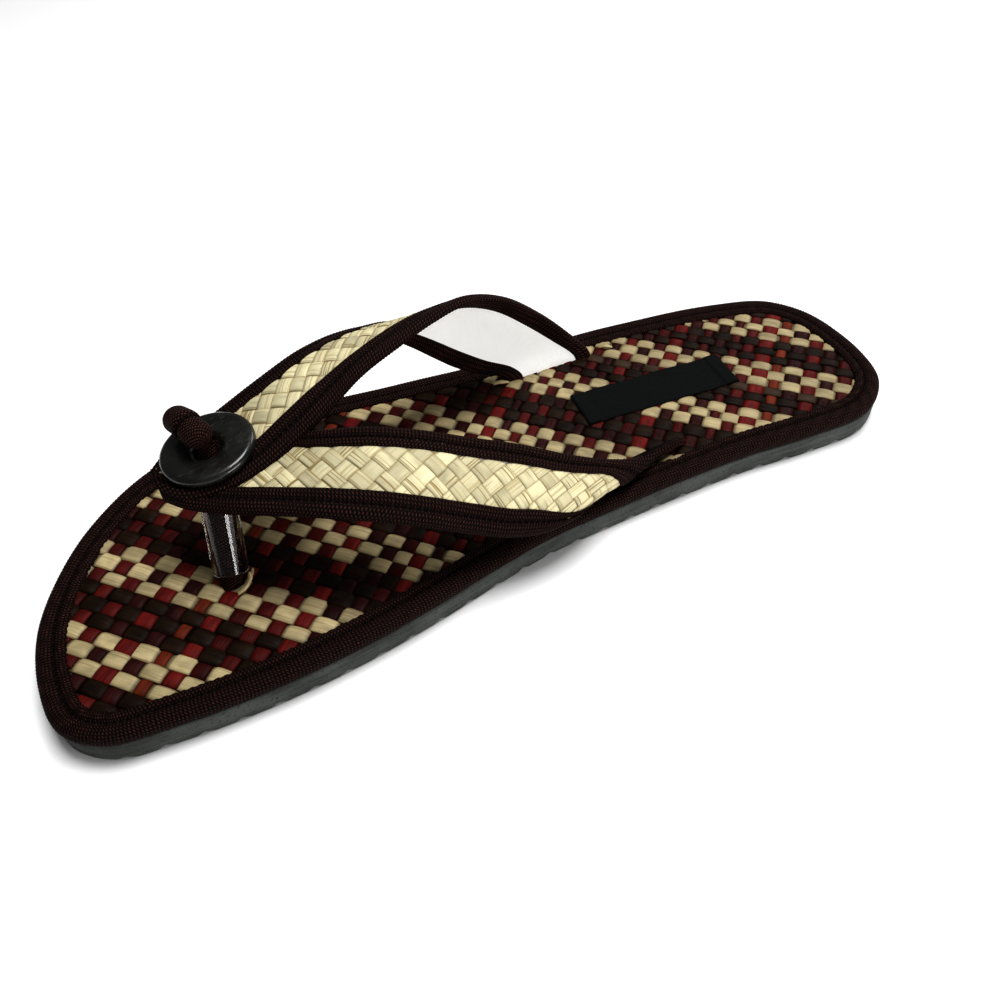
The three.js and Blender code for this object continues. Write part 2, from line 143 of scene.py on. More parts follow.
# Woven strips: height of a strip's middle over what it lies on, its rise and fall, and its bulge. In mm
FOOTBED_WEAVE = (0.20, 0.34, 0.26)
STRAP_WEAVE = (0.06, 0.20, 0.08)
# The outer strap's strips stand up more than the inner one's
INNER_RELIEF = 1.0
OUTER_RELIEF = 1.6
# How far inside the outline the footbed's strips end, under the binding, in mm
WEAVE_INSET = 6.4

# Broken straw ends on the footbed: width, then points with their heights over the mat. In mm
FRAYS = (
    (1.2, ((79.6, 16.2, 0.1), (77.8, 16.2, 0.9), (76.2, 15.4, 1.2))),
    (0.9, ((78.4, 15.4, 0.2), (76.6, 15.2, 1.0), (75.4, 14.8, 2.0))),
    (1.3, ((76.8, 15.0, 0.3), (75.4, 13.9, 1.4), (75.0, 12.9, 2.6))),
    (1.0, ((75.8, 13.2, 0.3), (74.6, 12.6, 1.2), (73.8, 11.4, 1.7))),
    (1.8, ((-17.6, -23.6, 0.2), (-19.6, -22.4, 0.9), (-22.0, -21.4, 0.5))),
    (1.5, ((-57.0, -22.0, 0.2), (-58.6, -20.6, 0.9), (-60.4, -19.4, 0.4))),
    (1.6, ((-43.0, 35.2, 0.1), (-46.0, 34.4, 0.7), (-49.2, 34.2, 0.3))),
)

# Camera: place in mm, the directions to its right and behind it, focal length in mm
CAMERA_PLACE = Vector((80.7, 169.7, 185.5))
CAMERA_RIGHT = Vector((-0.8712, 0.4898, -0.0324))
CAMERA_BACK = Vector((0.3132, 0.6056, 0.7316))
CAMERA_LENS = 30.75

# Lamps: name, place in m, width and height in m, power in W
LAMPS = (
    ("Key", (-0.20, -0.06, 1.05), (0.50, 0.50), 11.2),
    ("Heel", (-0.85, -0.45, 0.62), (0.40, 0.40), 2.4),
    ("Side", (-0.36, 0.80, 0.14), (0.50, 0.36), 4.8),
)
LAMP_AIM = Vector((0.0, 0.0, 0.02))
WORLD_LIGHT = 0.14


def length_property(name, description, length):
    return bpy.props.FloatProperty(name=name, description=description, default=length * MM, unit="LENGTH")


def colour_property(name, description, value):
    return bpy.props.FloatVectorProperty(
        name=name, description=description, default=value, size=3, min=0, max=1, subtype="COLOR")


class FlipFlopSizes(bpy.types.PropertyGroup):
    groove_depth: length_property("Groove depth", "Depth of the grooves under the sole", 1.3)
    groove_pitch: length_property("Groove pitch", "Distance between the grooves under the sole", 9)
    binding_width: length_property("Edge binding width", "Width of the ribbon on the footbed's edge", 7.6)
    strap_binding: length_property("Strap binding width", "Width of the ribbon on the straps' edges", 6)
    rib_pitch: length_property("Rib pitch", "Distance between the ribs of the ribbon", 1.05)
    strip_thickness: length_property("Strip thickness", "Thickness of the woven strips", 0.35)
    strap_strip: length_property("Strap strip pitch", "Distance between the straps' woven strips", 4.35)
    button_radius: length_property("Button radius", "Radius of the round button", 12.2)
    tube_radius: length_property("Tube radius", "Outer radius of the clear tube", 4.6)
    cord_radius: length_property("Cord radius", "Radius of the toe cord", 3.4)


class FlipFlopColours(bpy.types.PropertyGroup):
    straw: colour_property("Straw", "Pale strips of the footbed", (0.405, 0.328, 0.176))
    dark_palm: colour_property("Dark palm", "Dark strips of the footbed", (0.0125, 0.0060, 0.0028))
    tan_palm: colour_property("Tan palm", "The lighter brown strip of the footbed", (0.050, 0.030, 0.018))
    bright_red: colour_property("Bright red", "Brightest red strips", (0.098, 0.0078, 0.0062))
    red: colour_property("Red", "Red strips", (0.060, 0.0054, 0.0043))
    dark_red: colour_property("Dark red", "Dark red strips", (0.044, 0.0042, 0.0036))
    maroon: colour_property("Maroon", "Maroon strips", (0.024, 0.0042, 0.0036))
    rust: colour_property("Rust", "Rust strips", (0.125, 0.0200, 0.0070))
    cream: colour_property("Cream straw", "Strips of the straps", (0.63, 0.57, 0.355))
    ribbon: colour_property("Ribbon", "Ribbon of the bindings and the cord", (0.031, 0.0108, 0.0078))
    lining: colour_property("Lining", "Cloth under the straps", (0.94, 0.935, 0.915))
    foam: colour_property("Foam rubber", "The outsole", (0.057, 0.061, 0.056))
    shell: colour_property("Shell", "The polished button", (0.0060, 0.0058, 0.0054))
    cloth: colour_property("Label cloth", "The bare label", (0.0034, 0.0040, 0.0040))
    floor: colour_property("Floor", "The plain floor", (0.94, 0.94, 0.94))


def size(name):
    """A length from the panel, in mm."""
    return getattr(bpy.context.scene.flip_flop_sizes, name) / MM


def dye_of(name):
    """A colour from the panel."""
    return Vector(getattr(bpy.context.scene.flip_flop_colours, name))


# Curves

def catmull_rom(p0, p1, p2, p3, share):
    """A point between p1 and p2 on a centripetal curve through four points."""
    d0, d1, d2 = (max((b - a).length ** 0.5, 1e-4) for a, b in ((p0, p1), (p1, p2), (p2, p3)))
    t1 = ((p1 - p0) / d0 - (p2 - p0) / (d0 + d1) + (p2 - p1) / d1) * d1
    t2 = ((p2 - p1) / d1 - (p3 - p1) / (d1 + d2) + (p3 - p2) / d2) * d1
    bend = -3 * p1 + 3 * p2 - 2 * t1 - t2
    turn = 2 * p1 - 2 * p2 + t1 + t2
    return p1 + t1 * share + bend * share ** 2 + turn * share ** 3


def curve_point(points, place):
    """A point on the open curve through points, at a place from 0 to the last point's number."""
    low = min(max(int(place), 0), len(points) - 2)
    before = points[low - 1] if low > 0 else 2 * points[0] - points[1]
    after = points[low + 2] if low + 2 < len(points) else 2 * points[-1] - points[-2]
    return catmull_rom(before, points[low], points[low + 1], after, place - low)


def running_lengths(points):
    """Each point's distance from the first one, along the line through them all."""
    lengths = [0.0]
    for a, b in zip(points, points[1:]):
        lengths.append(lengths[-1] + (b - a).length)
    return lengths


def find_stretch(lengths, distance):
    """The number of the stretch that holds a distance, and the share of it that lies before it."""
    low, high = 0, len(lengths) - 1
    while high - low > 1:
        middle = (low + high) // 2
        if lengths[middle] <= distance:
            low = middle
        else:
            high = middle
    share = (distance - lengths[low]) / (lengths[high] - lengths[low])
    return low, min(max(share, 0.0), 1.0)


class Path:
    """A smooth curve through given points, measured along its length."""

    def __init__(self, points, closed=False, steps=24):
        points = [Vector(p) for p in points]
        if closed:
            ring = [points[-1], *points, points[0], points[1]]
            self.points = [
                catmull_rom(*ring[i:i + 4], j / steps)
                for i in range(len(points)) for j in range(steps)
            ]
            self.points.append(self.points[0])
        else:
            last = (len(points) - 1) * steps
            self.points = [curve_point(points, i / steps) for i in range(last + 1)]
        self.lengths = running_lengths(self.points)
        self.length = self.lengths[-1]

    def at(self, distance):
        """The point and the direction at a distance along the curve."""
        low, share = find_stretch(self.lengths, distance)
        a, b = self.points[low], self.points[low + 1]
        return a.lerp(b, share), (b - a).normalized()


def between(stations, number):
    """The distance for a number, read between the rows of a short table."""
    for (n0, d0), (n1, d1) in zip(stations, stations[1:]):
        if number <= n1:
            return d0 + (d1 - d0) * (number - n0) / (n1 - n0)
    return stations[-1][1]


def smooth_step(low, high, value):
    share = min(max((value - low) / (high - low), 0.0), 1.0)
    return share * share * (3 - 2 * share)


def bulge(share):
    """1 in the middle of a strip's width and 0 at its rims, where the share is 0 and 1."""
    return 1 - (2 * share - 1) ** 2


def over_under(place):
    """Height of a strip that passes over at even numbers and under at odd ones, from -1 to 1."""
    wave = math.cos(math.pi * place)
    return math.copysign(abs(wave) ** 0.55, wave)


def dip_under(place):
    """0 where such a strip passes over and 1 where it passes under."""
    return 0.5 - 0.5 * over_under(place)


outline = Path([(x, y, 0.0) for x, y in OUTLINE], closed=True)


def edge_point(distance, inset, height):
    """A point at a distance along the sole's outline, set in from it."""
    point, direction = outline.at(distance % outline.length)
    inward = Vector((direction.y, -direction.x, 0.0))
    return Vector((point.x, point.y, height)) + inward * inset


def outline_ring(inset, height, steps):
    return [edge_point(outline.length * i / steps, inset, height) for i in range(steps)]


def is_inside(ring, x, y):
    """Whether a point lies inside a closed ring of points."""
    inside = False
    for a, b in zip(ring, ring[1:] + ring[:1]):
        if (a.y > y) != (b.y > y) and x < a.x + (y - a.y) * (b.x - a.x) / (b.y - a.y):
            inside = not inside
    return inside


# Mesh helpers

# The materials that read the rim and dip attributes darken faces by them as painted shade
def lay_grid(bm, steps, place, measure, finish=0, tone=0.0, flip=False, dip=None):
    """Lay a grid of faces on place(a, b), where a and b run from 0 to 1, with measure(a, b) as its
    UV map in mm.

    The attribute tone tells strips apart, rim runs from 0 at a strip's middle to 1 at its rims, and
    dip(a, b) from 0 on top to 1 deep in a groove or where a strip passes under its neighbours.
    """
    uv_layer = bm.loops.layers.uv.verify()
    tone_layer = bm.faces.layers.float.get("tone") or bm.faces.layers.float.new("tone")
    for name in ("rim", "dip"):
        if name not in bm.verts.layers.float:
            bm.verts.layers.float.new(name)
    rim_layer, dip_layer = (bm.verts.layers.float[name] for name in ("rim", "dip"))
    verts = bmesh.ops.create_grid(bm, x_segments=steps[0], y_segments=steps[1], size=0.5)["verts"]
    shares = {vert: (vert.co.x + 0.5, vert.co.y + 0.5) for vert in verts}
    faces = {face for vert in verts for face in vert.link_faces}
    for face in faces:
        face.material_index = finish
        face[tone_layer] = tone
        face.smooth = True
        for loop in face.loops:
            loop[uv_layer].uv = measure(*shares[loop.vert])
    for vert in verts:
        vert.co = place(*shares[vert])
        vert[rim_layer] = abs(2 * shares[vert][1] - 1)
        vert[dip_layer] = dip(*shares[vert]) if dip else 0.0
    if flip:
        bmesh.ops.reverse_faces(bm, faces=list(faces))


def finish_piece(bm, name, materials, replaced, weld=0.0):
    """Turn a bmesh in mm into a piece in metres that rides on the shoe."""
    if weld:
        bmesh.ops.remove_doubles(bm, verts=bm.verts, dist=weld)
    bmesh.ops.scale(bm, vec=(MM, MM, MM), verts=bm.verts)
    mesh = bpy.data.meshes.new(name)
    bm.to_mesh(mesh)
    bm.free()
    for material in materials:
        mesh.materials.append(material)
    piece = bpy.data.objects.new(name, mesh)
    bpy.context.scene.collection.objects.link(piece)
    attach(piece, "root")
    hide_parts(*replaced)
    return piece


def thicken(piece, thickness):
    """Give a piece's sheets a wall below their faces."""
    wall = piece.modifiers.new("Wall", "SOLIDIFY")
    wall.thickness = thickness * MM
    wall.offset = -1


def close_shell(bm):
    """Merge the seam of a folded or rolled sheet and close its open ends."""
    bmesh.ops.remove_doubles(bm, verts=bm.verts, dist=1e-3)
    bmesh.ops.holes_fill(bm, edges=[edge for edge in bm.edges if edge.is_boundary], sides=0)


def cut_sheet(inset, top, thickness, steps):
    """A sheet cut to the sole's outline, set in from it, with its top face at a height."""
    bm = bmesh.new()
    ring = [bm.verts.new(point) for point in outline_ring(inset, top, steps)]
    made = bmesh.ops.extrude_face_region(bm, geom=[bm.faces.new(ring)])
    lowered = [part for part in made["geom"] if isinstance(part, bmesh.types.BMVert)]
    bmesh.ops.translate(bm, vec=(0, 0, -thickness), verts=lowered)
    bmesh.ops.recalc_face_normals(bm, faces=bm.faces)
    return bm


def cut_across(bm, point, direction):
    """Cut a mesh's faces along a plane, so that they can bend there."""
    geometry = bm.verts[:] + bm.edges[:] + bm.faces[:]
    bmesh.ops.bisect_plane(bm, geom=geometry, plane_co=point, plane_no=direction, dist=1e-5)


def row_at(profile, share):
    """The row of a closed profile at a share of the way round it."""
    return profile[round(share * len(profile)) % len(profile)]


def by_stitch(number, at_stitch, beside_it):
    """A value for a step along a stitched groove: three steps under a stitch, three beside it."""
    return at_stitch if number % 6 < 3 else beside_it


# Materials

class Shading:
    """Short names for adding and joining the nodes of a material or a group."""

    def __init__(self, tree):
        self.tree = tree

    def node(self, kind, **values):
        node = self.tree.nodes.new(kind)
        for key, value in values.items():
            setattr(node, key, value)
        return node

    def feed(self, value, socket):
        """Join another node's output to a socket, or give the socket a plain value."""
        if hasattr(value, "is_output"):
            self.tree.links.new(value, socket)
        elif socket.type == "RGBA":
            socket.default_value = (*value[:3], 1.0)
        else:
            socket.default_value = value

    def fill(self, node, **inputs):
        for name, value in inputs.items():
            self.feed(value, node.inputs[name.replace("_", " ")])
        return node

    def math(self, operation, a, b=0.0):
        node = self.node("ShaderNodeMath", operation=operation)
        for value, socket in zip((a, b), node.inputs):
            self.feed(value, socket)
        return node.outputs[0]

    def add(self, a, b):
        return self.math("ADD", a, b)

    def multiply(self, a, b):
        return self.math("MULTIPLY", a, b)

    def mix(self, factor, a, b, blend="MIX"):
        node = self.node("ShaderNodeMix", data_type="RGBA", blend_type=blend)
        for value, number in ((factor, 0), (a, 6), (b, 7)):
            self.feed(value, node.inputs[number])
        return node.outputs[2]

    def range(self, value, low, high, to_low=0.0, to_high=1.0):
        node = self.node("ShaderNodeMapRange")
        for number, socket in zip((value, low, high, to_low, to_high), node.inputs):
            self.feed(number, socket)
        return node.outputs[0]

    def noise(self, vector, scale, detail=2.0, roughness=0.5):
        node = self.node("ShaderNodeTexNoise")
        return self.fill(node, Vector=vector, Scale=scale, Detail=detail, Roughness=roughness).outputs[0]

    def stretched(self, vector, scale, turn=0.0):
        node = self.node("ShaderNodeMapping")
        return self.fill(node, Vector=vector, Rotation=(0.0, 0.0, turn), Scale=scale).outputs[0]

    def moved(self, vector, step):
        node = self.node("ShaderNodeVectorMath", operation="ADD")
        self.feed(vector, node.inputs[0])
        self.feed(step, node.inputs[1])
        return node.outputs[0]

    def parts(self, vector):
        return self.fill(self.node("ShaderNodeSeparateXYZ"), Vector=vector).outputs[:2]

    def threads(self, vector, pitches):
        """Waves along and across a UV map in mm, one for each direction's threads."""
        return [
            self.math("SINE", self.multiply(part, math.tau / pitch))
            for part, pitch in zip(self.parts(vector), pitches)
        ]

    def uv(self):
        return self.node("ShaderNodeUVMap").outputs[0]

    def place(self):
        return self.node("ShaderNodeTexCoord").outputs["Object"]

    def attribute(self, name):
        return self.node("ShaderNodeAttribute", attribute_name=name).outputs["Fac"]

    def bump(self, height, strength, distance):
        """Normals that follow a height, with the distance in mm."""
        node = self.node("ShaderNodeBump")
        return self.fill(node, Strength=strength, Distance=distance * MM, Height=height).outputs[0]

    def group(self, name, build, **inputs):
        """The outputs of a node group, which is built when a material first uses it."""
        tree = bpy.data.node_groups.get(name) or build(name)
        return self.fill(self.node("ShaderNodeGroup", node_tree=tree), **inputs).outputs


def open_group(name, **inputs):
    """Start a node group on a vector in mm, with named numbers as its other inputs."""
    s = Shading(bpy.data.node_groups.new(name, "ShaderNodeTree"))
    s.tree.interface.new_socket("Vector", in_out="INPUT", socket_type="NodeSocketVector")
    for label, value in inputs.items():
        socket = s.tree.interface.new_socket(label, in_out="INPUT", socket_type="NodeSocketFloat")
        socket.default_value = value
    return s, s.node("NodeGroupInput").outputs


def close_group(s, **outputs):
    for label in outputs:
        s.tree.interface.new_socket(label, in_out="OUTPUT", socket_type="NodeSocketFloat")
    s.fill(s.node("NodeGroupOutput"), **outputs)
    return s.tree


def build_fibre(name):
    """Long fibres, splits and blotches of a dried leaf strip, on a UV map in mm along and across it."""
    s, given = open_group(name, Tone=0.0, Splits=0.5)
    apart = s.fill(s.node("ShaderNodeCombineXYZ"), Z=s.multiply(given["Tone"], 37.0))
    uv = s.moved(given["Vector"], apart.outputs[0])
    fibre = s.noise(s.stretched(uv, (0.09, 4.6, 1.0)), 1.0, 4.0, 0.68)
    coarse = s.noise(s.stretched(uv, (0.045, 1.7, 1.0)), 1.0, 1.0, 0.4)
    split = s.multiply(s.range(coarse, 0.575, 0.63), given["Splits"])
    blotch = s.noise(s.stretched(uv, (0.16, 0.3, 1.0)), 1.0, 2.0, 0.5)
    height = s.math("SUBTRACT", s.multiply(fibre, 0.5), split)
    return close_group(s, Fibre=fibre, Split=split, Blotch=blotch, Height=height)


def build_ribs(name):
    """Rows of short raised threads across a ribbon, staggered like bricks, on a UV map in mm."""
    s, given = open_group(name, Rib=0.9, Thread=0.8, Slant=0.35, Fold=0.0)
    along, across = s.parts(given["Vector"])
    wander = s.noise(s.stretched(given["Vector"], (0.6, 0.9, 1.0)), 1.0, 2.0)
    # The ribs lean away from the ribbon's fold on both sides of it
    beside = s.math("ABSOLUTE", s.math("SUBTRACT", across, given["Fold"]))
    along = s.add(s.add(along, s.multiply(beside, given["Slant"])), s.multiply(wander, 0.4))
    row = s.math("DIVIDE", s.add(across, s.multiply(wander, 0.25)), given["Thread"])
    turns = s.add(s.math("DIVIDE", along, given["Rib"]), s.multiply(s.math("FLOOR", row), 0.5))
    rib = s.math("SINE", s.multiply(turns, math.tau))
    thread = s.math("SINE", s.multiply(s.math("FRACT", row), math.pi))
    lit = s.multiply(s.range(rib, -0.1, 0.9), s.range(thread, 0.15, 0.85))
    fuzz = s.noise(given["Vector"], 5.0, 3.0, 0.7)
    height = s.add(s.multiply(lit, 0.9), s.multiply(fuzz, 0.5))
    return close_group(s, Lit=lit, Fuzz=fuzz, Height=height)


def new_material(name):
    material = bpy.data.materials.new(name)
    material.use_nodes = True
    return material, Shading(material.node_tree), material.node_tree.nodes["Principled BSDF"]


def strip_material(name, dye, deep, pale, roughness, gloss=0.06, splits=0.3, split_and_rim_shade_colour=None):
    """A dried leaf strip: fibres along it, splits between them, blotches of its dye, and painted shade where
    it passes under its neighbours and along its rims.

    deep and pale are the brightness of its darkest and its lightest blotches beside the dye's own.
    """
    material, s, surface = new_material(name)
    split_and_rim_shade_colour = split_and_rim_shade_colour or dye * deep
    tone = s.attribute("tone")
    strip = s.group("Leaf fibre", build_fibre, Vector=s.uv(), Tone=tone, Splits=splits)
    mottle = s.add(s.multiply(strip["Blotch"], 0.55), s.multiply(strip["Fibre"], 0.45))
    colour = s.mix(s.range(mottle, 0.34, 0.52), dye * deep, dye)
    colour = s.mix(s.range(mottle, 0.50, 0.70), colour, dye * pale)
    shade = s.range(s.math("FRACT", s.multiply(tone, 7.31)), 0.0, 1.0, 0.74, 1.12)
    # Painted shade: the strip darkens where it passes under its neighbours
    shade = s.multiply(shade, s.range(s.attribute("dip"), 0.38, 0.85, 1.0, 0.22))
    shade = s.fill(s.node("ShaderNodeCombineColor"), Red=shade, Green=shade, Blue=shade).outputs[0]
    colour = s.mix(1.0, colour, shade, "MULTIPLY")
    colour = s.mix(strip["Split"], colour, split_and_rim_shade_colour)
    # Painted shade: a thin dark line along the strip's rims, in the same colour as the splits
    edge = s.add(s.attribute("rim"), s.multiply(strip["Fibre"], 0.25))
    colour = s.mix(s.range(edge, 0.98, 1.14, 0.0, 0.85), colour, split_and_rim_shade_colour)
    s.fill(surface, Base_Color=colour, Specular_IOR_Level=gloss, Normal=s.bump(strip["Height"], 0.6, 0.25),
           Roughness=s.range(strip["Fibre"], 0.3, 0.7, roughness - 0.06, roughness + 0.14))
    return material


def ribbon_material(name="Ribbed ribbon", rib=0.9, thread=0.8, slant=0.35, fold=0.0, light=1.0):
    """A ribbed ribbon, with painted shade making its gaps and stitched grooves nearly black and painted
    highlights and sheen on the tops of its ribs.
    """
    material, s, surface = new_material(name)
    ribs = s.group("Ribbon ribs", build_ribs, Vector=s.uv(), Rib=rib, Thread=thread, Slant=slant, Fold=fold)
    # light above 1 gives a brighter copy of the ribbon: painted light for a part that catches more light
    base = dye_of("ribbon") * light
    # Painted shade in the gaps between the raised threads and painted highlights on their tops
    gap = base * 0.03
    colour = s.mix(ribs["Lit"], gap, base * 1.3)
    # Painted sheen on the lit threads
    sheen = s.multiply(ribs["Lit"], s.range(ribs["Fuzz"], 0.52, 0.75))
    colour = s.mix(sheen, colour, base * 6.0)
    # Painted shade in the stitched grooves
    colour = s.mix(s.range(s.attribute("dip"), 0.1, 0.9, 0.0, 0.92), colour, gap)
    s.fill(surface, Base_Color=colour, Specular_IOR_Level=0.08, Normal=s.bump(ribs["Height"], 0.8, 0.30),
           Roughness=s.range(ribs["Fuzz"], 0.3, 0.7, 0.62, 0.85))
    return material


def foam_material():
    """Foam rubber: layers in its cut edge, clouds in its grey and small open cells."""
    material, s, surface = new_material("Foam rubber")
    place = s.place()
    layers = s.noise(s.stretched(place, (60.0, 60.0, 900.0)), 1.0, 3.0, 0.6)
    cells = s.noise(place, 1500.0, 2.0, 0.6)
    cloud = s.noise(place, 90.0, 2.0, 0.5)
    base = dye_of("foam")
    colour = s.mix(s.range(layers, 0.35, 0.65), base * 0.55, base * 1.15)
    colour = s.mix(s.range(cloud, 0.4, 0.7, 0.0, 0.6), colour, base * 1.5)
    colour = s.mix(s.range(cells, 0.56, 0.70, 0.0, 0.8), colour, base * 0.3)
    height = s.add(s.multiply(layers, 0.7), s.multiply(cells, 0.5))
    s.fill(surface, Base_Color=colour, Specular_IOR_Level=0.15, Normal=s.bump(height, 0.6, 0.35),
           Roughness=s.range(layers, 0.3, 0.7, 0.72, 0.92))
    return material


def board_material():
    """The backing board that shows as dark gaps between the woven strips."""
    material, s, surface = new_material("Backing board")
    grain = s.noise(s.place(), 700.0, 3.0, 0.6)
    s.fill(surface, Base_Color=s.mix(grain, (0.006, 0.003, 0.002), (0.030, 0.014, 0.009)), Roughness=0.9,
           Normal=s.bump(grain, 0.4, 0.2))
    return material


def lining_material():
    """Thin white cloth, a little worn, with a faint glow of painted light that brightens it in the shade
    under the straps.
    """
    material, s, surface = new_material("Strap lining")
    uv = s.uv()
    weave = s.multiply(*s.threads(uv, (0.7, 0.7)))
    wear = s.noise(s.stretched(uv, (0.08, 0.12, 1.0)), 1.0, 3.0, 0.6)
    base = dye_of("lining")
    colour = s.mix(s.range(weave, -1.0, 1.0), base * 0.90, base)
    colour = s.mix(s.range(wear, 0.5, 0.8, 0.0, 0.3), colour, base * 0.75)
    # The emission is painted light, not light through the cloth
    s.fill(surface, Base_Color=colour, Roughness=0.85, Normal=s.bump(weave, 0.4, 0.15),
           Emission_Color=colour, Emission_Strength=0.2)
    return material


def shell_material():
    """Polished dark shell with faint pale veins."""
    material, s, surface = new_material("Polished shell")
    place = s.place()
    wander = s.noise(place, 90.0, 3.0, 0.6)
    turned = s.stretched(place, (40.0, 150.0, 40.0), math.radians(35))
    bent = s.moved(turned, s.mix(wander, (0.0, 0.0, 0.0), (1.2, 1.2, 1.2)))
    vein = s.math("ABSOLUTE", s.math("SUBTRACT", s.noise(bent, 1.0, 3.0, 0.6), 0.5))
    vein = s.range(s.math("SUBTRACT", 1.0, vein), 0.985, 1.0)
    base = dye_of("shell")
    colour = s.mix(s.range(wander, 0.35, 0.7), base * 0.6, base * 1.8)
    colour = s.mix(s.multiply(vein, 0.22), colour, (0.080, 0.080, 0.066))
    s.fill(surface, Base_Color=colour, Roughness=s.range(wander, 0.3, 0.7, 0.20, 0.34),
           Specular_IOR_Level=0.35, Coat_Weight=0.25, Coat_Roughness=0.06, Normal=s.bump(wander, 0.12, 0.3))
    return material


def clear_material(name, coat):
    """Clear plastic, a little hazy along its length."""
    material, s, surface = new_material(name)
    haze = s.noise(s.stretched(s.place(), (200.0, 200.0, 40.0)), 1.0, 2.0, 0.5)
    s.fill(surface, Base_Color=s.mix(haze, (0.86, 0.86, 0.82), (0.97, 0.97, 0.95)),
           Roughness=s.range(haze, 0.3, 0.7, 0.02, 0.06), Transmission_Weight=1.0, IOR=1.10,
           Coat_Weight=coat, Coat_Roughness=0.05)
    return material


def cloth_material():
    """Close satin weave of the bare label, with a little lint on it."""
    material, s, surface = new_material("Label cloth")
    uv = s.uv()
    warp, weft = s.threads(uv, (0.34, 0.42))
    weave = s.add(s.multiply(warp, 0.4), s.multiply(weft, 0.6))
    lint = s.noise(s.stretched(uv, (0.5, 0.9, 1.0)), 1.0, 4.0, 0.7)
    base = dye_of("cloth")
    colour = s.mix(s.range(weave, -1.0, 1.0), base * 0.6, base * 1.7)
    colour = s.mix(s.range(lint, 0.55, 0.85, 0.0, 0.6), colour, base * 3.0)
    s.fill(surface, Base_Color=colour, Roughness=s.range(lint, 0.3, 0.7, 0.55, 0.75),
           Specular_IOR_Level=0.05, Normal=s.bump(weave, 0.5, 0.12))
    return material


# Straps

class Strap:
    """A strap's middle surface: along it from the V, across it from its centre line, and its height."""

    def __init__(self, sections, outer):
        front = [Vector((s[0], s[1], s[2] + MAT_TOP)) for s in sections]
        rear = [Vector((s[3], s[4], s[5] + MAT_TOP)) for s in sections]
        self.crowns = [s[6] for s in sections]
        self.outer = outer
        self.steps = 24
        places = [i / self.steps for i in range((len(sections) - 1) * self.steps + 1)]
        self.edges = [(curve_point(front, place), curve_point(rear, place)) for place in places]
        self.lengths = running_lengths([(a + b) / 2 for a, b in self.edges])
        self.length = self.lengths[-1]
        self.normals = []
        reach = 8
        for i, (front, rear) in enumerate(self.edges):
            low, high = self.edges[max(i - reach, 0)], self.edges[min(i + reach, len(places) - 1)]
            along = (high[0] + high[1]) - (low[0] + low[1])
            across = rear - front
            normal = across.cross(along) if outer else along.cross(across)
            self.normals.append(normal.normalized())

    def edges_at(self, along):
        """The points on both edges, after the stretch that holds them and the share of it before them."""
        low, share = find_stretch(self.lengths, along)
        front, rear = (a.lerp(b, share) for a, b in zip(self.edges[low], self.edges[low + 1]))
        return low, share, front, rear

    def width(self, along):
        _, _, front, rear = self.edges_at(along)
        return (rear - front).length

    def point(self, along, across, height):
        """across is in mm from the centre line, negative towards the front edge."""
        low, share, front, rear = self.edges_at(along)
        normal = self.normals[low].lerp(self.normals[low + 1], share)
        t = 0.5 + across / (rear - front).length
        section = (low + share) / self.steps
        number = min(int(section), len(self.crowns) - 2)
        crown = self.crowns[number] + (self.crowns[number + 1] - self.crowns[number]) * (section - number)
        lift = crown * 4 * t * (1 - t) if 0 <= t <= 1 else 0.0
        return front.lerp(rear, t) + normal * (lift + height)


STRAPS = (("inner", Strap(INNER_SECTIONS, False)), ("outer", Strap(OUTER_SECTIONS, True)))


def rear_band(strap, along):
    """Width of the rear binding. The inner strap's spreads over the fold at its slot."""
    plain = size("strap_binding")
    if strap.outer:
        return plain * (1.35 - 0.35 * smooth_step(42.0, 66.0, along))
    spread = smooth_step(strap.length - 30.0, strap.length - 10.0, along)
    return plain + (strap.width(along) - 1.6 * plain) * spread * 0.9


def front_band(strap, along):
    """Width of the front binding. The inner strap's narrows where it hugs the sole's edge."""
    plain = size("strap_binding")
    if not strap.outer:
        plain *= 1.2 - 0.75 * smooth_step(strap.length - 48.0, strap.length - 26.0, along)
    return min(plain, strap.width(along) * 0.32)


def in_panel(strap, along, across):
    """Whether a place is in the woven panel, which goes on a little way under both bindings."""
    hidden = 1.4
    if not 1.0 < along < strap.length - 3.0:
        return False
    edge = strap.width(along) / 2
    return front_band(strap, along) - hidden - edge < across < edge - rear_band(strap, along) + hidden


def weave_strap(bm, strap, pitch, draw):
    """Weave the strap's panel one over one on the bias, as two families of strips."""
    slant = math.sqrt(0.5)
    reach = max(strap.width(strap.length * i / 40) for i in range(41)) / 2 / slant
    step = pitch / 6
    samples = int(reach / step)
    for family in (1, -1):
        for number in range(-5, int(strap.length * slant / pitch) + 6):
            tone = draw.random()
            width = pitch * draw.uniform(0.93, 1.0)
            middle = number * pitch / slant
            runs = [[]]
            for i in range(-samples, samples + 1):
                distance = i * step
                if in_panel(strap, middle + distance * slant, family * distance * slant):
                    runs[-1].append(distance)
                elif runs[-1]:
                    runs.append([])
            for run in runs:
                if len(run) > 2:
                    lay_strap_strip(bm, strap, family, middle, run, width, pitch, tone, draw)


def lay_strap_strip(bm, strap, family, middle, run, width, pitch, tone, draw):
    slant = math.sqrt(0.5)
    start, whole = run[0], run[-1] - run[0]
    finish = 0 if draw.random() < 0.6 else 1
    lean = draw.uniform(-0.12, 0.12)
    over = 0 if family > 0 else 1
    relief = OUTER_RELIEF if strap.outer else INNER_RELIEF
    rest, rise, dome = STRAP_WEAVE

    def place(a, b):
        distance = start + whole * a
        side = (b - 0.5) * width
        along = middle + (distance - family * side) * slant
        across = (family * distance + side) * slant
        height = rise * over_under(distance / pitch + over) + dome * bulge(b)
        return strap.point(along, across, rest + height * relief + lean * (b - 0.5))

    # dip gives each strip painted shade where it passes under the other family
    lay_grid(bm, (len(run) - 1, 4), place, lambda a, b: (whole * a, b * width), finish=finish, tone=tone,
             flip=strap.outer, dip=lambda a, b: dip_under((start + whole * a) / pitch + over))


# Operators: one for each piece or group of like pieces

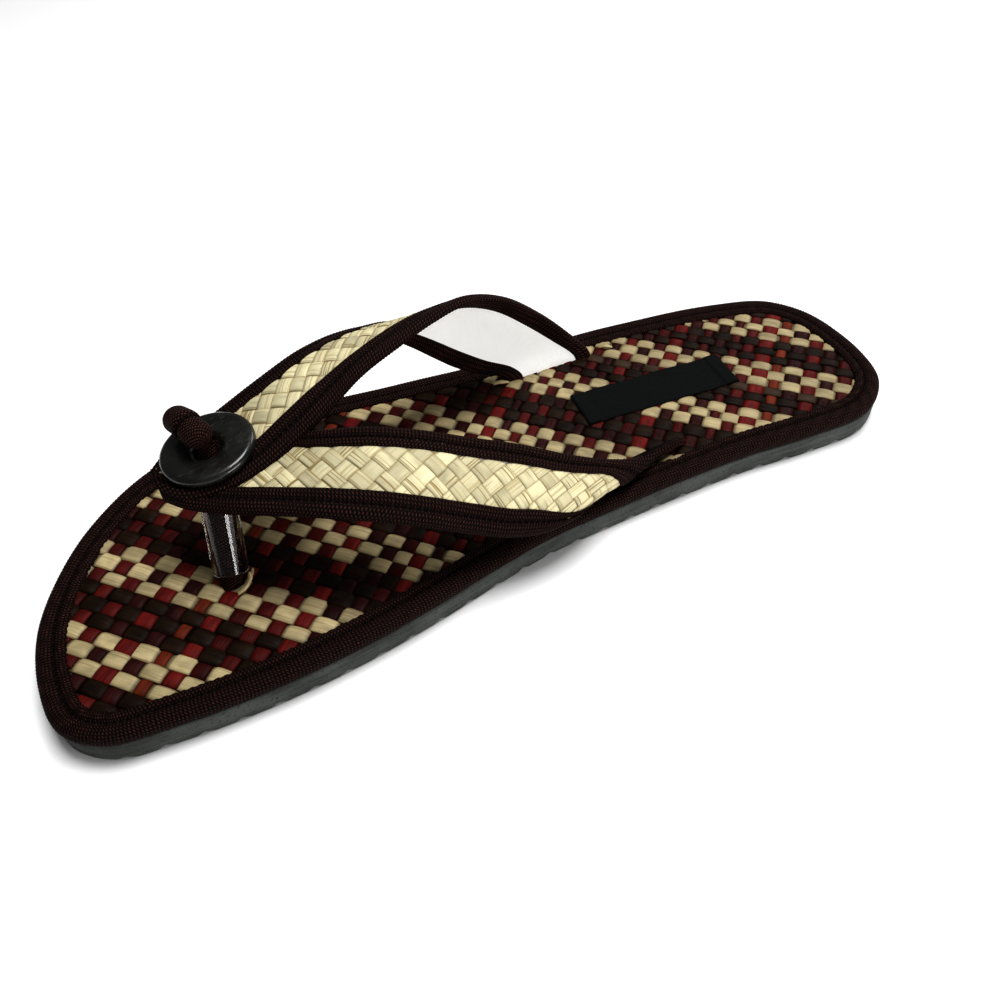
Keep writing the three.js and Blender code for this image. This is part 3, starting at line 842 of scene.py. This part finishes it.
class FLIPFLOP_OT_stage(bpy.types.Operator):
    """Set the camera, the soft lights and the pale floor"""

    bl_idname = "flipflop.stage"
    bl_label = "Stage"

    def execute(self, context):
        scene = context.scene
        self.set_camera(scene)
        self.lay_floor(scene)
        for name, where, (width, height), power in LAMPS:
            data = bpy.data.lights.new(name, "AREA")
            data.shape = "RECTANGLE"
            data.size = width
            data.size_y = height
            data.energy = power
            lamp = bpy.data.objects.new(name, data)
            scene.collection.objects.link(lamp)
            lamp.location = where
            lamp.rotation_euler = (LAMP_AIM - Vector(where)).to_track_quat("-Z", "Y").to_euler()
        world = bpy.data.worlds.new("Studio")
        world.use_nodes = True
        light = world.node_tree.nodes["Background"].inputs
        light["Color"].default_value = (1.0, 1.0, 1.0, 1.0)
        light["Strength"].default_value = WORLD_LIGHT
        scene.world = world
        scene.view_settings.view_transform = "Standard"
        scene.view_settings.look = "Medium High Contrast"
        return {"FINISHED"}

    def set_camera(self, scene):
        data = bpy.data.cameras.new("Camera")
        data.lens = CAMERA_LENS
        data.sensor_width = 36.0
        data.clip_start = 0.01
        data.clip_end = 20.0
        camera = bpy.data.objects.new("Camera", data)
        scene.collection.objects.link(camera)
        scene.camera = camera
        right, back = CAMERA_RIGHT.normalized(), CAMERA_BACK.normalized()
        up = back.cross(right).normalized()
        right = up.cross(back).normalized()
        turn = Matrix((right, up, back)).transposed().to_4x4()
        camera.matrix_world = Matrix.Translation(CAMERA_PLACE * MM) @ turn

    def lay_floor(self, scene):
        bm = bmesh.new()
        bmesh.ops.create_grid(bm, x_segments=2, y_segments=2, size=6.0)
        mesh = bpy.data.meshes.new("Floor")
        bm.to_mesh(mesh)
        bm.free()
        floor = bpy.data.objects.new("Floor", mesh)
        scene.collection.objects.link(floor)
        material, s, surface = new_material("Pale floor")
        base = dye_of("floor")
        s.fill(surface, Base_Color=s.mix(s.noise(s.place(), 3.0), base * 0.985, base), Roughness=0.9)
        mesh.materials.append(material)


class FLIPFLOP_OT_outsole(bpy.types.Operator):
    """Cut the foam outsole and press the grooves into its underside"""

    bl_idname = "flipflop.outsole"
    bl_label = "Outsole"

    def execute(self, context):
        thickness = 6.6
        bm = cut_sheet(0.2, thickness, thickness, 300)
        pitch = size("groove_pitch")
        first = -117.0
        half_width = 2.4
        count = 27
        for number in range(count):
            for share in (-1.0, -0.7, -0.35, 0.0, 0.35, 0.7, 1.0):
                cut_across(bm, (first + number * pitch + share * half_width, 0, 0), (1, 0, 0))
        for height in (0.9, 2.6, 4.4, 5.9):
            cut_across(bm, (0, 0, height), (0, 0, 1))
        for vert in bm.verts:
            number = round((vert.co.x - first) / pitch)
            share = abs(vert.co.x - first - number * pitch) / half_width
            if 0 <= number < count and share < 1:
                rise = size("groove_depth") * (0.5 + 0.5 * math.cos(math.pi * share))
                vert.co.z += rise * (1 - smooth_step(0.0, 3.0, vert.co.z))
        for vert in bm.verts:
            # The sides are cut by hand, so they wander a little, and their rims are rounded over
            full = smooth_step(0.0, 0.9, vert.co.z) * (1 - smooth_step(5.9, thickness, vert.co.z))
            wander = math.sin(vert.co.x * 0.11) * math.cos(vert.co.y * 0.17)
            if any(abs(face.normal.z) < 0.5 for face in vert.link_faces):
                outward = Vector((vert.co.x * 0.25, vert.co.y, 0.0)).normalized()
                vert.co -= outward * (0.28 * (1 - full) + 0.10 * wander)
        for face in bm.faces:
            face.smooth = abs(face.normal.z) < 0.5
        finish_piece(bm, "outsole_foam", [foam_material()], ("outsole",), weld=1e-4)
        return {"FINISHED"}


class FLIPFLOP_OT_footbed(bpy.types.Operator):
    """Lay the backing board and weave the footbed's strips over it"""

    bl_idname = "flipflop.footbed"
    bl_label = "Footbed"

    def execute(self, context):
        self.make_board()
        ring = outline_ring(WEAVE_INSET, 0.0, 360)
        draw = random.Random(11)
        pale = strip_material("Pale straw", dye_of("straw"), 0.60, 1.30, 0.46, gloss=0.2, splits=0.35,
                              split_and_rim_shade_colour=(0.16, 0.105, 0.045))
        weft_finishes = [
            pale,
            strip_material("Dark palm", dye_of("dark_palm"), 0.4, 1.9, 0.45),
            strip_material("Tan palm", dye_of("tan_palm"), 0.5, 1.5, 0.45),
        ]
        warp_finishes = [
            strip_material(f"{dye.replace('_', ' ').capitalize()} palm", dye_of(dye), 0.45, 1.6, 0.42)
            for dye in DYES.values()
        ]
        weft = bmesh.new()
        for row in WEFT_ROWS:
            tone = draw.random()
            width = draw.uniform(0.88, 1.12)
            kind = 2 if row in TAN_WEFTS else row % 6 // 3
            self.lay_strip(weft, draw, ring, row, False, width, kind, tone)
        warp = bmesh.new()
        for column, letter in enumerate(WARP_DYES, WARP_FIRST):
            tone = draw.random()
            width = draw.uniform(0.70, 0.80)
            if column in WIDE_WARPS:
                width = 0.92
            if column in NARROW_WARPS:
                width = 0.58
            self.lay_strip(warp, draw, ring, column, True, width, list(DYES).index(letter), tone)
        families = (("footbed_weft", weft, weft_finishes), ("footbed_warp", warp, warp_finishes))
        for name, bm, finishes in families:
            thicken(finish_piece(bm, name, finishes, ("footbed_mat",)), size("strip_thickness"))
        self.make_frays(pale)
        return {"FINISHED"}

    def make_board(self):
        top = BOARD_TOP - 0.25
        bm = cut_sheet(2.6, top, top - MAT_BOTTOM, 240)
        finish_piece(bm, "footbed_board", [board_material()], ("footbed_mat",))

    def lay_strip(self, bm, draw, ring, number, is_warp, width, kind, tone):
        """One strip from edge to edge: over its neighbours at every other crossing."""
        along_stations, across_stations = (ROWS, COLUMNS) if is_warp else (COLUMNS, ROWS)
        along_way, across_way = (WARP_WAY, WEFT_WAY) if is_warp else (WEFT_WAY, WARP_WAY)
        first, last = along_stations[0][0], along_stations[-1][0]
        rest, rise, dome = FOOTBED_WEAVE
        per_cell = 7
        middle = between(across_stations, number)
        gauge = between(across_stations, number + 0.5) - between(across_stations, number - 0.5)
        half = gauge * width / 2
        drift = draw.uniform(0, math.tau)
        turn = number + (1 if is_warp else 0)
        runs = [[]]
        for i in range((last - first) * per_cell + 1):
            cell = first + i / per_cell
            spot = FIRST_CROSSING + along_way * between(along_stations, cell) + across_way * middle
            if is_inside(ring, spot.x, spot.y):
                runs[-1].append(cell)
            elif runs[-1]:
                runs.append([])
        for run in runs:
            if len(run) < 4:
                continue
            start, cells = run[0], run[-1] - run[0]
            start_length = between(along_stations, start)
            whole = between(along_stations, run[-1]) - start_length

            def place(a, b):
                cell = start + cells * a
                away = (b - 0.5) * 2
                wave = over_under(cell + turn)
                swell = 1.0 + 0.05 * wave + 0.03 * math.sin(cell * 0.9 + drift)
                sway = 0.18 * math.sin(cell * 0.75 + drift)
                spot = FIRST_CROSSING + along_way * between(along_stations, cell)
                spot = spot + across_way * (middle + sway + away * half * swell)
                return Vector((spot.x, spot.y, BOARD_TOP + rest + rise * wave + dome * bulge(b)))

            def measure(a, b):
                return (start_length + whole * a, (b - 0.5) * 2 * half + number * 9.0)

            # dip sets the painted shade where the strip passes under; the warps get more of it
            def dip(a, b):
                return dip_under(start + cells * a + turn) * (1.5 if is_warp else 1.0)

            lay_grid(bm, (len(run) - 1, 4), place, measure, finish=kind, tone=tone, flip=is_warp, dip=dip)

    def make_frays(self, material):
        """Broken ends of straw that stand up round the cord's hole and the straps' slots."""
        bm = bmesh.new()
        draw = random.Random(3)
        for width, points in FRAYS:
            path = Path([Vector((x, y, MAT_TOP + z)) for x, y, z in points])

            def place(a, b):
                point, direction = path.at(path.length * a)
                across = direction.cross(Vector((0.0, 0.0, 1.0))).normalized()
                taper = 1 - 0.7 * smooth_step(0.6, 1.0, a)
                return point + across * (b - 0.5) * width * taper + Vector((0, 0, 0.25 * bulge(b)))

            lay_grid(bm, (14, 3), place, lambda a, b: (path.length * a, b * width), tone=draw.random())
        thicken(finish_piece(bm, "footbed_frays", [material], ("footbed_mat",)), 0.25)


class FLIPFLOP_OT_edge_binding(bpy.types.Operator):
    """Fold the ribbed ribbon over the footbed's edge and stitch it down"""

    bl_idname = "flipflop.edge_binding"
    bl_label = "Edge binding"

    def execute(self, context):
        bm = bmesh.new()
        width = size("binding_width")
        top = BINDING_TOP
        # Inset from the outline, height and how much the ribs stand out there
        profile = (
            (0.3, MAT_BOTTOM, 0.0), (0.05, MAT_BOTTOM + 0.5, 0.5), (0.0, top - 2.6, 1.0),
            (0.1, top - 1.7, 1.0), (0.5, top - 0.9, 1.0), (1.2, top - 0.35, 1.0), (2.1, top, 1.0),
            (3.0, top, 1.0), (3.9, top - 0.30, 0.8), (4.45, top - 0.95, 0.2), (4.75, top - 1.0, 0.2),
            (5.15, top - 0.35, 0.8), (5.7, top - 0.1, 1.0), (6.4, top - 0.15, 1.0), (7.0, top - 0.5, 0.8),
            (width, top - 1.0, 0.4), (width, top - 1.5, 0.0), (5.0, BOARD_TOP + 0.3, 0.0),
            (2.6, BOARD_TOP + 0.2, 0.0), (2.3, MAT_BOTTOM, 0.0),
        )
        steps = round(outline.length / size("rib_pitch")) * 3
        rises = (0.10, -0.02, -0.08)
        rows = len(profile)
        folds = running_lengths([Vector(row[:2]) for row in profile + profile[:1]])

        def in_groove(inset):
            return 4.4 < inset < 4.8

        def place(a, b):
            number = round(a * steps)
            inset, height, ribbed = row_at(profile, b)
            distance = outline.length * a + inset * 0.25
            rise = rises[number % 3] * ribbed
            if in_groove(inset):
                rise = by_stitch(number, 0.25, -0.12)
            if inset > 6.9:
                inset += by_stitch(number, 0.12, -0.08)
            wander = 0.10 * math.sin(distance * 0.21) + 0.06 * math.sin(distance * 0.083 + 1.0)
            out = rise if inset < 1.0 and height < top - 0.5 else 0.0
            lift = 0.0 if out else rise
            return edge_point(distance, inset - out + wander * ribbed * 0.7, height + lift)

        # Painted shade in the stitched groove, a little lighter over each stitch
        def dip(a, b):
            return by_stitch(round(a * steps), 0.55, 0.95) * in_groove(row_at(profile, b)[0])

        lay_grid(bm, (steps, rows), place, lambda a, b: (outline.length * a, folds[round(b * rows)]), dip=dip)
        ribbon = ribbon_material(fold=7.0)
        finish_piece(bm, "edge_ribbon", [ribbon], ("edge_binding",), weld=1e-3)
        return {"FINISHED"}


class FLIPFLOP_OT_straps(bpy.types.Operator):
    """Weave the two straps, line them and bind their edges"""

    bl_idname = "flipflop.straps"
    bl_label = "Straps"

    def execute(self, context):
        cream = dye_of("cream")
        worn = 0.97
        straws = [
            strip_material("Cream straw", cream, 0.78, 1.15, 0.48, gloss=0.2, splits=0.5,
                           split_and_rim_shade_colour=(0.34, 0.25, 0.10)),
            strip_material("Split straw", cream * worn, 0.62 / worn, 1.12 / worn, 0.52, gloss=0.2,
                           splits=0.95, split_and_rim_shade_colour=(0.27, 0.19, 0.075)),
        ]
        ribbon = ribbon_material("Strap ribbon", slant=0.45, fold=4.1)
        lining = lining_material()
        draw = random.Random(5)
        for name, strap in STRAPS:
            bm = bmesh.new()
            weave_strap(bm, strap, size("strap_strip"), draw)
            thicken(finish_piece(bm, f"strap_{name}_straw", straws, ("strap_upper",)), 0.3)
            self.make_lining(name, strap, lining)
            self.make_bindings(name, strap, ribbon)
        return {"FINISHED"}

    def make_lining(self, name, strap, material):
        bm = bmesh.new()

        def place(a, b):
            along = 0.5 + (strap.length - 1.0) * a
            across = (b - 0.5) * (strap.width(along) - 3.0)
            if not strap.outer:
                # Near the slot it shows as a pale line beside the turned rear ribbon
                shows = smooth_step(strap.length - 36.0, strap.length - 24.0, along)
                across += 1.7 * shows * (1 - smooth_step(strap.length - 25.0, strap.length - 15.0, along)) * b
            return strap.point(along, across, -0.55)

        lay_grid(bm, (150, 12), place, lambda a, b: (strap.length * a, 22.0 * b), flip=strap.outer)
        thicken(finish_piece(bm, f"strap_{name}_lining", [material], ("strap_upper",)), 1.2)

    def make_bindings(self, name, strap, material):
        """Ribbons folded over both edges: two ribs on top with a stitched groove between them."""
        bm = bmesh.new()
        steps = round(strap.length / (size("rib_pitch") * 0.9)) * 3
        rises = (0.09, -0.02, -0.07)
        # Share of the band's width, height and how much the ribs stand out, round the edge and back
        profile = (
            (1.00, 0.20, 0.0), (0.99, 0.62, 0.3), (0.90, 0.86, 0.9), (0.76, 0.90, 1.0), (0.62, 0.80, 0.9),
            (0.55, 0.22, 0.2), (0.49, 0.22, 0.2), (0.42, 0.80, 0.9), (0.28, 0.94, 1.0), (0.14, 0.82, 1.0),
            (0.04, 0.45, 1.0), (0.00, -0.30, 1.0), (0.00, -1.10, 1.0), (0.05, -1.80, 1.0),
            (0.18, -2.20, 1.0), (0.40, -2.30, 1.0), (0.65, -2.25, 1.0), (0.86, -2.15, 0.8),
            (0.94, -1.75, 0.2), (0.94, -0.40, 0.0),
        )
        rows = len(profile)

        def in_groove(share, height):
            return 0.45 < share < 0.56 and height > 0

        # Painted shade in the stitched groove, a little lighter over each stitch
        def dip(a, b):
            return by_stitch(round(a * steps), 0.55, 0.95) * in_groove(*row_at(profile, b)[:2])

        for side, band in ((-1, front_band), (1, rear_band)):
            def place(a, b):
                number = round(a * steps)
                along = strap.length * a
                share, height, ribbed = row_at(profile, b)
                rise = rises[number % 3] * ribbed
                if in_groove(share, height):
                    rise = by_stitch(number, 0.24, -0.08)
                if height < -0.35:
                    rise = -rise
                out = 0.0
                if share < 0.03:
                    out, rise = abs(rise), 0.0
                across = side * (strap.width(along) / 2 - share * band(strap, along) + out)
                return strap.point(along, across, height + rise)

            lay_grid(bm, (steps, rows), place, lambda a, b: (strap.length * a, b * rows * 0.75),
                     flip=(side > 0) != strap.outer, dip=dip)
        close_shell(bm)
        finish_piece(bm, f"strap_{name}_ribbon", [material], ("strap_upper",))


def cord_frame():
    """The cord's direction and two directions square to it."""
    way = (CORD_HEAD - CORD_FOOT).normalized()
    side = way.cross(Vector((1, 0, 0))).normalized()
    return way, side, way.cross(side)


def turned_ring(centre, side, other, radius, angle):
    return centre + (side * math.cos(angle) + other * math.sin(angle)) * radius


class FLIPFLOP_OT_toe_post(bpy.types.Operator):
    """Roll the toe cord, turn its knot over and slip it into the clear tube"""

    bl_idname = "flipflop.toe_post"
    bl_label = "Toe post"

    def execute(self, context):
        self.make_cord()
        self.make_tube()
        return {"FINISHED"}

    def make_cord(self):
        way, side, other = cord_frame()
        radius = size("cord_radius")
        whole = (CORD_HEAD - CORD_FOOT).length + 2.3 - CORD_START
        steps = round(whole / 0.32)
        bm = bmesh.new()

        def shaft(a, b):
            rise = (0.10, 0.0, -0.10)[round(a * steps) % 3]
            # The ribbon's free edge lies as a step along the roll
            step = 0.28 * smooth_step(0.0, 0.06, b) * (1 - 0.9 * b)
            neck = 0.5 * smooth_step(0.86, 1.0, a)
            centre = CORD_FOOT + way * (CORD_START + whole * a)
            return turned_ring(centre, side, other, radius - 0.2 - neck + rise + step, math.tau * b + a * 0.9)

        lay_grid(bm, (steps, 28), shaft, lambda a, b: (whole * a, math.tau * radius * b), flip=True)
        close_shell(bm)
        self.add_knot(bm)
        # The rolled ribbon is a brighter copy of the ribbon, painted light for the highlight on the knot
        ribbon = ribbon_material("Rolled ribbon", rib=0.80, thread=0.62, slant=0.2, light=1.5)
        finish_piece(bm, "toe_cord_ribbon", [ribbon], ("toe_cord",), weld=1e-3)

    def add_knot(self, bm):
        """The cord's end, rolled up and turned over the button: thick over the hole and thinner behind it."""
        turn = Path([CORD_HEAD + Vector(step) for step in KNOT_TURN])
        thick, thin = 3.8, 3.3
        whole = thick + turn.length + thin
        fold = turn.length * 0.42

        def distance_at(a):
            # Close spacing at both rounded ends
            return whole * (0.5 - 0.5 * math.cos(math.pi * a)) - thick

        def crease(a, b):
            return math.exp(-((distance_at(a) - fold + 0.2) / 0.45) ** 2)

        def knot(a, b):
            distance = distance_at(a)
            on_path = min(max(distance, 0.0), turn.length)
            centre, direction = turn.at(on_path)
            radius = thick + (thin - thick) * on_path / turn.length
            beyond = distance - on_path
            radius = math.sqrt(max(radius * radius - beyond * beyond, 0.0))
            across = direction.cross(Vector((0, 0, 1))).normalized()
            up = across.cross(direction)
            # The outer layer ends in a fold
            layer = 0.45 * smooth_step(fold - 0.2, fold + 0.2, distance) - 0.50 * crease(a, b)
            radius += layer * min(radius / thin, 1.0)
            return turned_ring(centre + direction * beyond, across, up * 0.93, radius, math.tau * b + 1.0)

        # The map starts well away from the shaft's, so that the ribs differ
        # dip=crease paints shade into the fold's crease
        lay_grid(bm, (96, 40), knot, lambda a, b: (distance_at(a) + 50.0, 24.0 * b + 60.0), flip=True,
                 dip=crease)

    def make_tube(self):
        way, side, other = cord_frame()
        foot, head, inner, outer = TUBE_FOOT, TUBE_HEAD, TUBE_BORE, size("tube_radius")
        # Distance along the cord and radius: up the inside, over the rim and down the outside
        profile = (
            (foot, inner), (foot + 0.3, inner), (head - 0.3, inner), (head, inner),
            (head + 0.15, inner + 0.25), (head + 0.15, outer - 0.25), (head, outer), (head - 0.3, outer),
            (foot + 0.3, outer), (foot, outer), (foot - 0.15, outer - 0.2), (foot - 0.15, inner + 0.25),
        )
        bm = bmesh.new()

        def place(a, b):
            along, radius = row_at(profile, b)
            return turned_ring(CORD_FOOT + way * along, side, other, radius, math.tau * a)

        lay_grid(bm, (64, len(profile)), place, lambda a, b: (a, b))
        bmesh.ops.remove_doubles(bm, verts=bm.verts, dist=1e-3)
        bmesh.ops.recalc_face_normals(bm, faces=bm.faces)
        for face in bm.faces:
            away = face.calc_center_median() - CORD_FOOT
            face.material_index = 1 if (away - way * away.dot(way)).length < inner + 0.1 else 0
        materials = [clear_material("Clear tube", 1.0), clear_material("Clear tube bore", 0.0)]
        finish_piece(bm, "toe_tube_clear", materials, ("toe_tube",))


class FLIPFLOP_OT_button(bpy.types.Operator):
    """Turn and polish the round button"""

    bl_idname = "flipflop.button"
    bl_label = "Button"

    def execute(self, context):
        radius = size("button_radius")
        # Radius and height of the turned profile, from the hole's lower rim out and back to its upper rim
        profile = (
            (BUTTON_BORE, -1.4), (radius - 1.1, -1.5), (radius - 0.35, -1.2), (radius, -0.5), (radius, 0.4),
            (radius - 0.3, 0.95), (radius - 0.9, 1.3), (radius - 1.8, 1.36), (radius - 3.0, 1.2),
            (6.2, 1.02), (5.0, 0.85), (4.1, 0.3), (BUTTON_BORE, -0.5),
        )
        bm = bmesh.new()
        verts = [bm.verts.new((r, 0.0, h)) for r, h in profile]
        edges = [bm.edges.new(pair) for pair in zip(verts, verts[1:] + verts[:1])]
        bmesh.ops.spin(bm, geom=verts + edges, cent=(0, 0, 0), axis=(0, 0, 1), angle=math.tau, steps=96,
                       use_merge=True)
        bmesh.ops.remove_doubles(bm, verts=bm.verts, dist=1e-4)
        bmesh.ops.recalc_face_normals(bm, faces=bm.faces)
        turn = Matrix.Translation(CORD_HEAD) @ Matrix.Rotation(BUTTON_TILT, 4, "Y")
        bmesh.ops.transform(bm, matrix=turn, verts=bm.verts)
        for face in bm.faces:
            face.smooth = True
        finish_piece(bm, "button_shell", [shell_material()], ("toe_button",))
        return {"FINISHED"}


class FLIPFLOP_OT_label(bpy.types.Operator):
    """Fold the bare cloth label and sew it near the heel"""

    bl_idname = "flipflop.label"
    bl_label = "Label"

    def execute(self, context):
        bm = bmesh.new()
        turn = Matrix.Rotation(LABEL_TURN, 4, "Z")

        def place(a, b):
            x = (a - 0.5) * LABEL_LENGTH
            y = (b - 0.5) * LABEL_WIDTH
            end = LABEL_LENGTH / 2 - abs(x)
            # The ends are folded under, so they stand higher, with a stitched dip inside the fold
            rise = 0.28 * (1 - smooth_step(LABEL_FOLD - 0.6, LABEL_FOLD, end))
            rise -= 0.16 * math.exp(-((end - LABEL_FOLD - 0.4) / 0.5) ** 2)
            rise -= 0.45 * (1 - smooth_step(0.0, 0.7, end))
            rise -= 0.30 * (1 - smooth_step(0.0, 0.6, LABEL_WIDTH / 2 - abs(y)))
            rise += 0.12 * math.sin(x * 0.35 + 0.4) * math.cos(y * 0.28) + 0.05 * math.sin(y * 1.3 + x * 0.2)
            y += 0.12 * math.sin(x * 0.3)
            return turn @ Vector((x, y, rise)) + LABEL_MIDDLE

        lay_grid(bm, (150, 44), place, lambda a, b: (a * LABEL_LENGTH, b * LABEL_WIDTH))
        thicken(finish_piece(bm, "label_cloth", [cloth_material()], ("footbed_label",)), 0.55)
        return {"FINISHED"}


OPERATORS = (
    FLIPFLOP_OT_stage, FLIPFLOP_OT_outsole, FLIPFLOP_OT_footbed, FLIPFLOP_OT_edge_binding,
    FLIPFLOP_OT_straps, FLIPFLOP_OT_toe_post, FLIPFLOP_OT_button, FLIPFLOP_OT_label,
)


class FLIPFLOP_PT_pieces(bpy.types.Panel):
    """The flip-flop's pieces in the order of their making"""

    bl_idname = "FLIPFLOP_PT_pieces"
    bl_label = "Flip-flop"
    bl_space_type = "VIEW_3D"
    bl_region_type = "UI"
    bl_category = "Flip-flop"

    def draw(self, context):
        for operator in OPERATORS:
            self.layout.operator(operator.bl_idname)
        for group in (context.scene.flip_flop_sizes, context.scene.flip_flop_colours):
            box = self.layout.box()
            for name in group.bl_rna.properties.keys():
                if name not in ("rna_type", "name"):
                    box.prop(group, name)


CLASSES = (FlipFlopSizes, FlipFlopColours, *OPERATORS, FLIPFLOP_PT_pieces)


def register():
    for kind in CLASSES:
        bpy.utils.register_class(kind)
    bpy.types.Scene.flip_flop_sizes = bpy.props.PointerProperty(type=FlipFlopSizes)
    bpy.types.Scene.flip_flop_colours = bpy.props.PointerProperty(type=FlipFlopColours)


def unregister():
    del bpy.types.Scene.flip_flop_colours
    del bpy.types.Scene.flip_flop_sizes
    for kind in reversed(CLASSES):
        bpy.utils.unregister_class(kind)


def main():
    register()
    bpy.ops.flipflop.stage()
    bpy.ops.flipflop.outsole()
    bpy.ops.flipflop.footbed()
    bpy.ops.flipflop.edge_binding()
    bpy.ops.flipflop.straps()
    bpy.ops.flipflop.toe_post()
    bpy.ops.flipflop.button()
    bpy.ops.flipflop.label()


if __name__ == "__main__":
    main()
